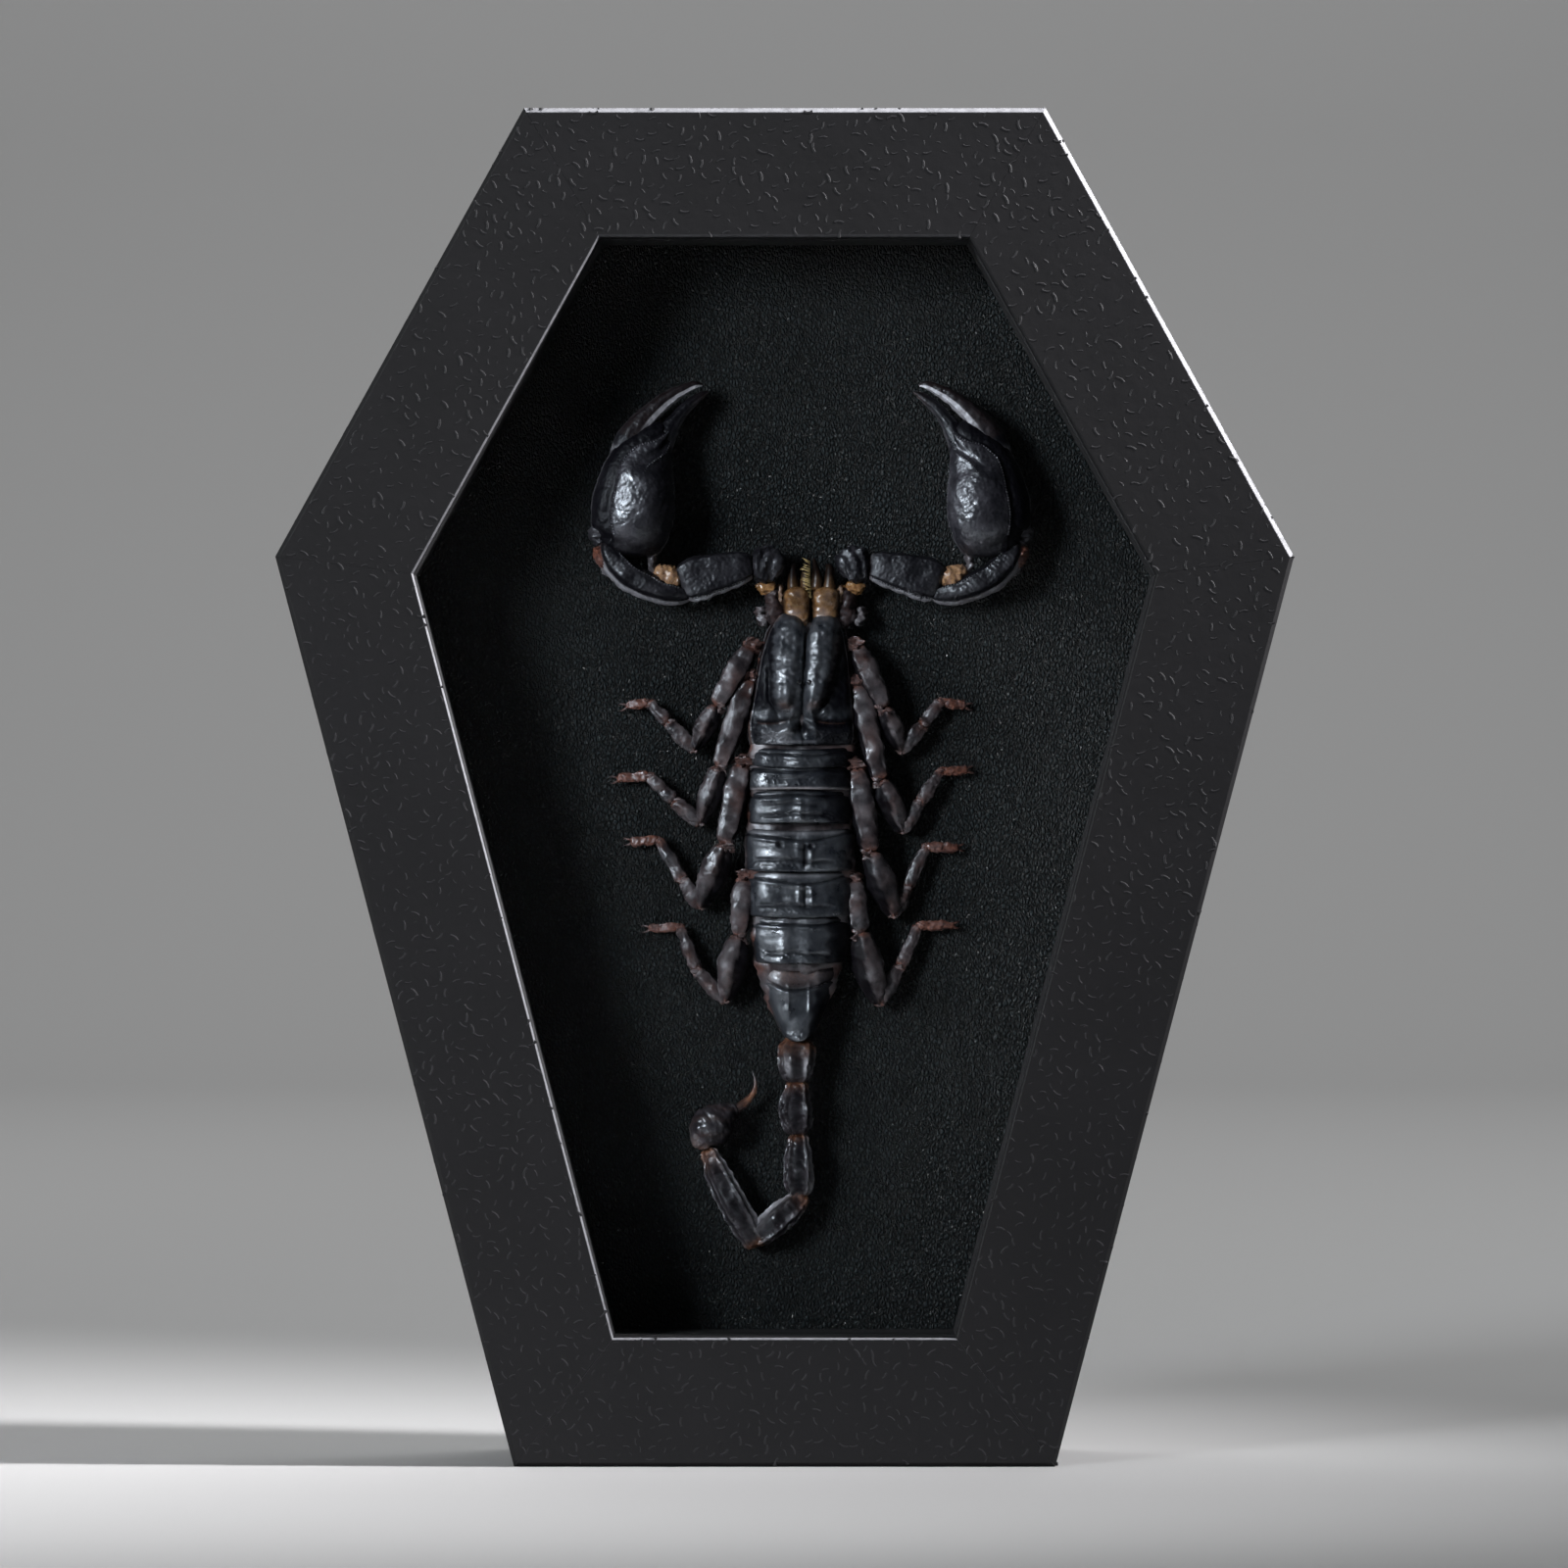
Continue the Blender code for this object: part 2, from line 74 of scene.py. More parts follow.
class Hand(Enum):
    """The side of the scorpion that a limb is on, as the viewer sees it."""

    LEFT = "left"
    RIGHT = "right"


class Side(Enum):
    """The six sides of the case, clockwise from the top."""

    TOP = 0
    UPPER_RIGHT = 1
    LOWER_RIGHT = 2
    BOTTOM = 3
    LOWER_LEFT = 4
    UPPER_LEFT = 5

    @property
    def label(self) -> str:
        """The side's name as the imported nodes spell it."""
        return self.name.lower()


# Node trees


def add_node(tree: bpy.types.NodeTree, kind: str, inputs: dict | None = None, **settings) -> bpy.types.Node:
    """Adds a node and fills its inputs.

    Args:
        tree: the node tree that gets the node.
        kind: the node's type name.
        inputs: input names or numbers with values, or with the sockets that feed them.
        settings: attributes of the node, set before its inputs.

    Returns:
        The new node.
    """
    node = tree.nodes.new(kind)
    for key, value in settings.items():
        setattr(node, key, value)
    for key, value in (inputs or {}).items():
        if isinstance(value, bpy.types.NodeSocket):
            tree.links.new(value, node.inputs[key])
        else:
            node.inputs[key].default_value = value
    return node


def mix_colour(tree: bpy.types.NodeTree, share, first, second) -> bpy.types.NodeSocket:
    """Mixes two colours.

    Args:
        tree: the material's tree.
        share: how much of the second colour shows, a number or a socket.
        first: a colour of three numbers, or a socket.
        second: a colour of three numbers, or a socket.

    Returns:
        The mixed colour's socket.
    """
    node = add_node(tree, "ShaderNodeMix", {0: share}, data_type="RGBA")
    for slot, value in ((6, first), (7, second)):
        if isinstance(value, bpy.types.NodeSocket):
            tree.links.new(value, node.inputs[slot])
        else:
            node.inputs[slot].default_value = (*value, 1.0)
    return node.outputs[2]


def ramp(
    tree: bpy.types.NodeTree, value, low: float, high: float, start=0.0, end=1.0,
) -> bpy.types.NodeSocket:
    """Maps value from the span low to high onto start to end, clamped, and returns its socket."""
    node = add_node(tree, "ShaderNodeMapRange", {0: value, 1: low, 2: high, 3: start, 4: end})
    return node.outputs[0]


def noise(tree: bpy.types.NodeTree, place, scale: float, detail=3.0, rough=0.55) -> bpy.types.NodeSocket:
    """A noise of the given scale per metre at place, as a value's socket."""
    node = add_node(
        tree, "ShaderNodeTexNoise", {"Vector": place, "Scale": scale, "Detail": detail, "Roughness": rough},
    )
    return node.outputs["Fac"]


def math_node(tree: bpy.types.NodeTree, operation: str, first, second=0.0) -> bpy.types.NodeSocket:
    """One arithmetic step on values or sockets, as a socket."""
    return add_node(tree, "ShaderNodeMath", {0: first, 1: second}, operation=operation).outputs[0]


def attribute(tree: bpy.types.NodeTree, name: str) -> bpy.types.NodeSocket:
    """A tone that the mesh carries at its points, as a value's socket."""
    return add_node(tree, "ShaderNodeAttribute", attribute_name=name).outputs["Fac"]


# Finishes


@dataclass(frozen=True)
class Finish:
    """A finish: the name of its material and the record's slot that it belongs to."""

    name: str
    slot: str

    def material(self) -> bpy.types.Material:
        """The finish's material, made once.

        Returns:
            The material, with its node tree painted.
        """
        found = bpy.data.materials.get(self.name)
        if found is None:
            found = bpy.data.materials.new(self.name)
            found.use_nodes = True
            tree = found.node_tree
            place = add_node(tree, "ShaderNodeTexCoord").outputs["Object"]
            self.paint(tree, tree.nodes["Principled BSDF"], place)
        return found

    def paint(self, tree: bpy.types.NodeTree, shader: bpy.types.Node, place: bpy.types.NodeSocket) -> None:
        """Wires the finish's colour, roughness and relief into its shader."""
        raise NotImplementedError

    @staticmethod
    def bump(tree, shader, layers: Sequence[tuple]) -> None:
        """Stacks bump layers of (height socket, strength, distance in metres) into the shader's normal."""
        normal = None
        for height, strength, distance in layers:
            inputs = {"Height": height, "Strength": strength, "Distance": distance}
            if normal is not None:
                inputs["Normal"] = normal
            normal = add_node(tree, "ShaderNodeBump", inputs).outputs[0]
        tree.links.new(normal, shader.inputs["Normal"])


@dataclass(frozen=True)
class CharcoalCovering(Finish):
    """Matt charcoal covering paper with soft mottling and a fine tooth, and painted highlights and painted
    shade along its arrises.
    """

    colour: tuple[float, float, float] = (0.0062, 0.0059, 0.0070)
    pale: tuple[float, float, float] = (0.0080, 0.0076, 0.0090)
    # Pale tone of the fibre flecks, and the colour of the painted highlights on the arrises.
    fleck_and_highlight: tuple[float, float, float] = (0.230, 0.232, 0.250)
    # Near black of the painted shade on the arrises.
    stained: tuple[float, float, float] = (0.0035, 0.0035, 0.0040)

    def paint(self, tree, shader, place) -> None:
        """Wires mottling, tooth and embossed swells, and paints highlights and shade along the edges."""
        cloud = ramp(tree, noise(tree, place, 60.0, 4.0, 0.6), 0.35, 0.68)
        tooth = noise(tree, place, 3800.0, 3.0, 0.7)
        swell = noise(tree, place, 420.0, 2.0, 0.5)
        base = mix_colour(tree, cloud, self.colour, self.pale)
        fleck = math_node(tree, "MULTIPLY", attribute(tree, "fleck"), 0.035)
        base = mix_colour(tree, fleck, base, self.fleck_and_highlight)
        # Painted highlight: the arrises set per side are mixed towards the pale colour, in broken patches.
        highlight_breakup = ramp(tree, noise(tree, place, 700.0, 4.0, 0.7), 0.30, 0.55, 0.55, 1.0)
        edge_highlight = math_node(tree, "MULTIPLY", attribute(tree, "edge"), highlight_breakup)
        base = mix_colour(tree, edge_highlight, base, self.fleck_and_highlight)
        # Painted shade: the arrises set per side are mixed towards near black.
        base = mix_colour(tree, attribute(tree, "stain"), base, self.stained)
        tree.links.new(base, shader.inputs["Base Color"])
        tree.links.new(ramp(tree, tooth, 0.2, 0.8, 0.50, 0.64), shader.inputs["Roughness"])
        shader.inputs["Specular IOR Level"].default_value = 0.3
        self.bump(tree, shader, ((swell, 0.5, 0.00010), (tooth, 0.35, 0.00003)))


@dataclass(frozen=True)
class BlackCard(Finish):
    """Matt black card with a faint fibre, pale where its cut edge shows."""

    def paint(self, tree, shader, place) -> None:
        """Wires the card's fibre into its colour and relief."""
        fibre = noise(tree, place, 1400.0, 4.0, 0.65)
        base = mix_colour(tree, ramp(tree, fibre, 0.35, 0.7), (0.009, 0.009, 0.010), (0.017, 0.017, 0.019))
        tree.links.new(base, shader.inputs["Base Color"])
        tree.links.new(ramp(tree, fibre, 0.2, 0.8, 0.58, 0.78), shader.inputs["Roughness"])
        self.bump(tree, shader, ((fibre, 0.4, 0.00004),))


@dataclass(frozen=True)
class PictureGlass(Finish):
    """Clear low-reflection glass, through which the lamps reach the specimen."""

    index: float = 1.13

    def paint(self, tree, shader, place) -> None:
        """Wires clear glass that lets the lamps' light through, with a faint wave in its face."""
        shader.inputs["Base Color"].default_value = (0.99, 1.0, 0.995, 1.0)
        shader.inputs["Roughness"].default_value = 0.0
        shader.inputs["IOR"].default_value = self.index
        shader.inputs["Transmission Weight"].default_value = 1.0
        clear = add_node(tree, "ShaderNodeBsdfTransparent")
        ray = add_node(tree, "ShaderNodeLightPath")
        passing = math_node(tree, "MAXIMUM", ray.outputs["Is Shadow Ray"], ray.outputs["Is Diffuse Ray"])
        passing = math_node(tree, "MAXIMUM", passing, ray.outputs["Is Glossy Ray"])
        mixed = add_node(
            tree, "ShaderNodeMixShader", {0: passing, 1: shader.outputs[0], 2: clear.outputs[0]},
        )
        tree.links.new(mixed.outputs[0], tree.nodes["Material Output"].inputs["Surface"])


@dataclass(frozen=True)
class PebbledLeather(Finish):
    """Black leather with a fine upright pebble grain and a faint blue-green cast."""

    grain: float = 1600.0
    # The crease colour is partly the grain's darker tone and partly painted shade in the creases.
    crease: tuple[float, float, float] = (0.0008, 0.0011, 0.0014)
    pebble: tuple[float, float, float] = (0.0225, 0.0340, 0.0390)

    def paint(self, tree, shader, place) -> None:
        """Wires two sizes of stretched pebbles, their creases darkened partly by their own tone and partly
        by painted shade, and a slow change of tone.
        """
        turned = {0: place, "Rotation": (0.0, math.radians(12.0), 0.0), "Scale": (1.22, 1.0, 0.76)}
        upright = add_node(tree, "ShaderNodeMapping", turned).outputs[0]
        drift = add_node(tree, "ShaderNodeTexNoise", {"Vector": upright, "Scale": 700.0, "Detail": 2.0})
        shares = {0: drift.outputs["Color"], 1: (0.00030, 0.00030, 0.00030)}
        bent = add_node(tree, "ShaderNodeVectorMath", shares, operation="MULTIPLY").outputs[0]
        moved = add_node(tree, "ShaderNodeVectorMath", {0: upright, 1: bent}, operation="ADD").outputs[0]
        heights = []
        for scale in (self.grain, self.grain * 2.1):
            asked = {"Vector": moved, "Scale": scale}
            cells = add_node(tree, "ShaderNodeTexVoronoi", asked, feature="DISTANCE_TO_EDGE")
            heights.append(ramp(tree, cells.outputs["Distance"], 0.0, 0.32))
        pile = math_node(tree, "MULTIPLY_ADD", heights[1], 0.35)
        tree.links.new(heights[0], pile.node.inputs[2])
        tone = ramp(tree, heights[0], 0.05, 0.8)
        slow = ramp(tree, noise(tree, place, 90.0, 3.0, 0.6), 0.3, 0.7, 0.65, 1.0)
        base = mix_colour(tree, math_node(tree, "MULTIPLY", tone, slow), self.crease, self.pebble)
        tree.links.new(base, shader.inputs["Base Color"])
        fine = noise(tree, place, 5200.0, 2.0, 0.6)
        tree.links.new(ramp(tree, fine, 0.25, 0.75, 0.32, 0.42), shader.inputs["Roughness"])
        shader.inputs["Specular IOR Level"].default_value = 0.85
        self.bump(tree, shader, ((pile, 1.0, 0.00050), (fine, 0.2, 0.00002)))


@dataclass(frozen=True)
class PressedBoard(Finish):
    """Pressed fibre board or grey board, in a dark and a light shade."""

    dark: tuple[float, float, float] = (0.03, 0.029, 0.028)
    light: tuple[float, float, float] = (0.06, 0.058, 0.055)

    def paint(self, tree, shader, place) -> None:
        """Wires chips and dust into the board's colour, roughness and relief."""
        chips = noise(tree, place, 650.0, 5.0, 0.7)
        dust = noise(tree, place, 4200.0, 2.0, 0.6)
        base = mix_colour(tree, ramp(tree, chips, 0.38, 0.66), self.dark, self.light)
        tree.links.new(base, shader.inputs["Base Color"])
        tree.links.new(ramp(tree, dust, 0.2, 0.8, 0.7, 0.9), shader.inputs["Roughness"])
        self.bump(tree, shader, ((chips, 0.3, 0.00008), (dust, 0.3, 0.00003)))


@dataclass(frozen=True)
class ZincSteel(Finish):
    """Bright zinc-plated strip with rolling marks and a little dulling."""

    def paint(self, tree, shader, place) -> None:
        """Wires fine rolling lines and cloudy dulling."""
        lines = add_node(tree, "ShaderNodeMapping", {0: place, "Scale": (1.0, 1.0, 22.0)}).outputs[0]
        rolled = noise(tree, lines, 420.0, 3.0, 0.6)
        cloud = noise(tree, place, 500.0, 3.0, 0.6)
        tree.links.new(
            mix_colour(tree, cloud, (0.42, 0.42, 0.43), (0.66, 0.66, 0.64)), shader.inputs["Base Color"],
        )
        shader.inputs["Metallic"].default_value = 1.0
        tree.links.new(ramp(tree, cloud, 0.3, 0.7, 0.26, 0.44), shader.inputs["Roughness"])
        self.bump(tree, shader, ((rolled, 0.25, 0.00002),))


@dataclass(frozen=True)
class Shell(Finish):
    """Dried scorpion shell: dark, glossy and finely pitted, with amber joints, pale marks that are partly
    dry rims and partly painted highlights, and a near-black tone that is partly dark shell and partly
    painted shade.
    """

    dark: tuple[float, float, float] = (0.0055, 0.0085, 0.0135)
    cloud: tuple[float, float, float] = (0.016, 0.020, 0.027)
    amber: tuple[float, float, float] = (0.115, 0.036, 0.018)
    amber_light: tuple[float, float, float] = (0.30, 0.135, 0.070)
    # Pale colour of dry rims, also used for painted highlights.
    pale: tuple[float, float, float] = (0.48, 0.48, 0.53)
    # Near black for dark shell and for painted shade.
    ink: tuple[float, float, float] = (0.0018, 0.0016, 0.0032)
    gloss: float = 0.34
    tint: tuple[float, float, float] = (0.84, 0.91, 1.0)
    shine: float = 0.72
    index: float = 1.65
    pitting: float = 1.0
    net: float = 0.0
    blotch: float = 0.35

    def paint(self, tree, shader, place) -> None:
        """Wires the shell's clouding, joint colour, pale marks, near-black tone with its painted shade,
        gloss and pitting.
        """
        patches = ramp(tree, noise(tree, place, 330.0, 4.0, 0.62), 0.38, 0.66)
        base = mix_colour(tree, patches, self.dark, self.cloud)
        speck = ramp(tree, noise(tree, place, 1500.0, 3.0, 0.65), 0.36, 0.64)
        joint = mix_colour(tree, speck, self.amber, self.amber_light)
        rub = ramp(tree, noise(tree, place, 1100.0, 4.0, 0.7), 0.25, 0.75, 0.55, 1.25)
        for tone, colour in (("amber", joint), ("pale", self.pale)):
            share = math_node(tree, "MULTIPLY", attribute(tree, tone), rub)
            base = mix_colour(tree, add_node(tree, "ShaderNodeClamp", {0: share}).outputs[0], base, colour)
        base = mix_colour(tree, attribute(tree, "ink"), base, self.ink)
        tree.links.new(base, shader.inputs["Base Color"])
        rough = ramp(tree, patches, 0.0, 1.0, self.gloss - 0.05, self.gloss + 0.09)
        dull = math_node(tree, "MAXIMUM", attribute(tree, "pale"), attribute(tree, "ink"))
        rough = math_node(tree, "ADD", rough, math_node(tree, "MULTIPLY", dull, 0.16))
        tree.links.new(rough, shader.inputs["Roughness"])
        shader.inputs["IOR"].default_value = self.index
        shader.inputs["Specular Tint"].default_value = (*self.tint, 1.0)
        # Where the dark tone and painted shade are set, the reflection is damped too.
        shine = ramp(tree, attribute(tree, "ink"), 0.0, 1.0, self.shine, self.shine * 0.06)
        blotch = ramp(tree, noise(tree, place, 270.0, 3.0, 0.6), 0.40, 0.60, self.blotch, 1.25)
        shine = math_node(tree, "MULTIPLY", shine, blotch)
        tree.links.new(shine, shader.inputs["Specular IOR Level"])
        pits = noise(tree, place, 2300.0, 3.0, 0.6)
        dents = noise(tree, place, 750.0, 2.0, 0.5)
        layers = [(dents, 0.45 * self.pitting, 0.00010), (pits, 0.42 * self.pitting, 0.00004)]
        if self.net:
            asked = {"Vector": place, "Scale": 1900.0}
            cells = add_node(tree, "ShaderNodeTexVoronoi", asked, feature="SMOOTH_F1")
            layers.append((cells.outputs["Distance"], self.net, 0.00012))
        self.bump(tree, shader, layers)


@dataclass(frozen=True)
class PaleStudio(Finish):
    """The plain pale sweep that the case stands on."""

    def paint(self, tree, shader, place) -> None:
        """Sets a plain pale grey with no gloss."""
        shader.inputs["Base Color"].default_value = (0.46, 0.46, 0.46, 1.0)
        shader.inputs["Roughness"].default_value = 0.9


COVERING = CharcoalCovering("charcoal covering", "charcoal_rail")
CARD = BlackCard("black lining card", "black_card")
GLASS = PictureGlass("picture glass", "clear_glass")
LEATHER = PebbledLeather("pebbled leather", "black_leather")
GREY_BOARD = PressedBoard("grey board", "grey_board", (0.16, 0.155, 0.145), (0.25, 0.24, 0.23))
FIBREBOARD = PressedBoard("stained fibreboard", "black_fibreboard")
ZINC = ZincSteel("zinc steel", "zinc_steel")
BACK_SHELL = Shell(
    "back plates", "black_chitin", dark=(0.012, 0.0145, 0.020), cloud=(0.046, 0.051, 0.060), gloss=0.32,
    shine=1.0, net=0.3,
)
CLAW_SHELL = Shell(
    "claw shell", "black_chitin", dark=(0.007, 0.0065, 0.010), cloud=(0.044, 0.041, 0.052), gloss=0.33,
    shine=1.0, pitting=0.7, net=0.8, blotch=0.8,
)
LEG_SHELL = Shell(
    "leg shell", "black_chitin", dark=(0.014, 0.0105, 0.0125), cloud=(0.082, 0.066, 0.071),
    amber=(0.060, 0.018, 0.011), amber_light=(0.235, 0.092, 0.060), gloss=0.38, shine=0.8, index=1.6,
    pitting=1.6,
)
TAIL_SHELL = Shell(
    "tail shell", "black_chitin", dark=(0.010, 0.0085, 0.011), cloud=(0.038, 0.032, 0.038),
    amber=(0.075, 0.024, 0.012), amber_light=(0.30, 0.13, 0.062), gloss=0.33, pitting=1.2,
)
JAW_SHELL = Shell(
    "jaw shell", "black_chitin", dark=(0.050, 0.026, 0.012), cloud=(0.130, 0.072, 0.032),
    amber=(0.20, 0.085, 0.028), amber_light=(0.48, 0.27, 0.11), gloss=0.24, pitting=0.8,
)
BRISTLE = Shell(
    "bristle", "black_chitin", dark=(0.42, 0.30, 0.10), cloud=(0.62, 0.50, 0.24), gloss=0.4, pitting=0.2,
)
EYE = Shell(
    "eye", "black_chitin", dark=(0.002, 0.002, 0.003), cloud=(0.004, 0.004, 0.005), gloss=0.12, pitting=0.0,
)


# Meshes


def smooth_path(stations: Array, count: int) -> Array:
    """A smooth line of values through stations.

    Args:
        stations: one row for each station; the first three columns are its place.
        count: how many rows to return.

    Returns:
        An array of count rows, evenly spaced along the path.
    """
    steps = np.linalg.norm(np.diff(stations[:, :3], axis=0), axis=1)
    knots = np.concatenate(((0.0,), np.cumsum(np.maximum(steps, 1e-6))))
    slopes = np.gradient(stations, knots, axis=0)
    asked = np.linspace(0.0, knots[-1], count)
    cell = np.clip(np.searchsorted(knots, asked, side="right") - 1, 0, len(knots) - 2)
    width = (knots[cell + 1] - knots[cell])[:, None]
    t = ((asked - knots[cell]) / width[:, 0])[:, None]
    start = (2 * t**3 - 3 * t**2 + 1) * stations[cell] + (t**3 - 2 * t**2 + t) * width * slopes[cell]
    end = (3 * t**2 - 2 * t**3) * stations[cell + 1] + (t**3 - t**2) * width * slopes[cell + 1]
    return start + end


def ripple(points: Array, wavelength: float, seed: int, waves: int = 14) -> Array:
    """A smooth random field with a spread of about one.

    Args:
        points: rows of places in millimetres.
        wavelength: the usual distance from crest to crest.
        seed: picks the field.
        waves: how many plane waves are summed.

    Returns:
        One value for each place.
    """
    draw = np.random.default_rng(seed)
    headings = draw.normal(size=(waves, 3))
    headings /= np.linalg.norm(headings, axis=1)[:, None]
    lengths = wavelength * draw.uniform(0.7, 1.4, waves)
    phases = draw.uniform(0.0, 2 * math.pi, waves)
    swings = np.sin(points @ (headings / lengths[:, None]).T * 2 * math.pi + phases)
    return swings.sum(axis=1) / math.sqrt(waves / 2)


def hump(value: Array, centre: float | Array, width: float) -> Array:
    """A bell of height one about centre."""
    return np.exp(-(((value - centre) / width) ** 2))


def turn_gap(turn: Array, centre: float | Array) -> Array:
    """The signed angle from centre to turn, both in radians, within half a turn."""
    return (turn - centre + math.pi) % (2 * math.pi) - math.pi


def ridge(turn: Array, degrees: float, width: float) -> Array:
    """A bell of height one round a section, about an angle in degrees."""
    return hump(turn_gap(turn, math.radians(degrees)), 0.0, width)


def unit(value: Array) -> Array:
    """Values cut to the span from 0 to 1."""
    return np.clip(value, 0.0, 1.0)


def soft_step(value: Array, level: float, width: float, full: float | Array = 1.0) -> Array:
    """A soft step from 0 below level to full above it, or from full to 0 where width is negative."""
    return full / (1 + np.exp(-(value - level) / width))


def rim_fall(share: Array) -> Array:
    """How far a rounded rim falls away: 1 at its very edge, and 0 from a share of 1 inward."""
    return 1 - np.sqrt(1 - (1 - unit(share)) ** 2)


def arched_grid(rows: int, columns: int, spread: float) -> tuple[Array, Array, Array]:
    """The grid of an arched plate.

    Args:
        rows: points from its front edge to its rear edge.
        columns: points across it.
        spread: half of the angle that its arch spans, in degrees.

    Returns:
        Each point's share across from -1 to 1, its share back from 0 to 1, and the arch's height there.
    """
    limit = math.radians(spread)
    angle, share = np.meshgrid(np.linspace(-limit, limit, columns), np.linspace(0.0, 1.0, rows))
    arch = unit((np.cos(angle) - math.cos(limit)) / (1 - math.cos(limit)))
    return np.sin(angle) / math.sin(limit), share, arch


def loft_faces(count: int, rings: int = 2) -> list[tuple[int, ...]]:
    """The faces between rings of count points each, then a cap on the first ring and one on the last."""
    faces = []
    for low in range(0, (rings - 1) * count, count):
        for k in range(count):
            after = (k + 1) % count
            faces.append((low + k, low + after, low + count + after, low + count + k))
    faces.append(tuple(range(count)))
    faces.append(tuple((rings - 1) * count + k for k in range(count)))
    return faces


def add_object(name: str, data: bpy.types.ID) -> bpy.types.Object:
    """A new object in the scene that carries data."""
    made = bpy.data.objects.new(name, data)
    bpy.context.scene.collection.objects.link(made)
    return made


@dataclass
class MeshDraft:
    """Points in millimetres, faces and tones that become one mesh."""

    points: list[Array] = field(default_factory=list)
    faces: list[tuple[int, ...]] = field(default_factory=list)
    tones: list[Tones] = field(default_factory=list)
    count: int = 0

    def add(self, points: Array, faces: Sequence[Sequence[int]], tones: Tones | None = None) -> None:
        """Adds a shape whose faces count from its own first point."""
        base = self.count
        self.points.append(np.asarray(points, float).reshape(-1, 3))
        self.faces.extend(tuple(base + k for k in face) for face in faces)
        self.tones.append(tones or {})
        self.count += len(self.points[-1])

    def build(
        self, name: str, finish: Finish, mirror_x: float | None = None, smooth: bool = True,
    ) -> bpy.types.Object:
        """Makes the mesh object.

        Args:
            name: the piece's name.
            finish: what its surface is.
            mirror_x: where given, the shape is turned to the other side of this X.
            smooth: whether the surface is shaded round.

        Returns:
            The object, at the origin, with its normals outward.
        """
        places = np.concatenate(self.points)
        if mirror_x is not None:
            places[:, 0] = 2 * mirror_x - places[:, 0]
        mesh = bpy.data.meshes.new(name)
        mesh.from_pydata((places * MM).tolist(), [], self.faces)
        for tone in sorted({key for part in self.tones for key in part}):
            values = [part.get(tone, np.zeros(len(p))) for part, p in zip(self.tones, self.points)]
            layer = mesh.attributes.new(tone, "FLOAT", "POINT")
            layer.data.foreach_set("value", np.concatenate(values).astype(np.float32))
        work = bmesh.new()
        work.from_mesh(mesh)
        bmesh.ops.recalc_face_normals(work, faces=work.faces[:])
        work.to_mesh(mesh)
        work.free()
        mesh.materials.append(finish.material())
        if smooth:
            mesh.shade_smooth()
            mesh.set_sharp_from_angle(angle=math.radians(50.0))
        return add_object(name, mesh)


def present(piece: bpy.types.Object, finish: Finish, *nodes: str) -> None:
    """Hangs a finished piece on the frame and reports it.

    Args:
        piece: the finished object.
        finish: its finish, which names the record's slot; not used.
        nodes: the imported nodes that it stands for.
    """
    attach(piece, "root")
    if nodes:
        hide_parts(*nodes)
    log.info("%s: %d faces", piece.name, len(piece.data.polygons))


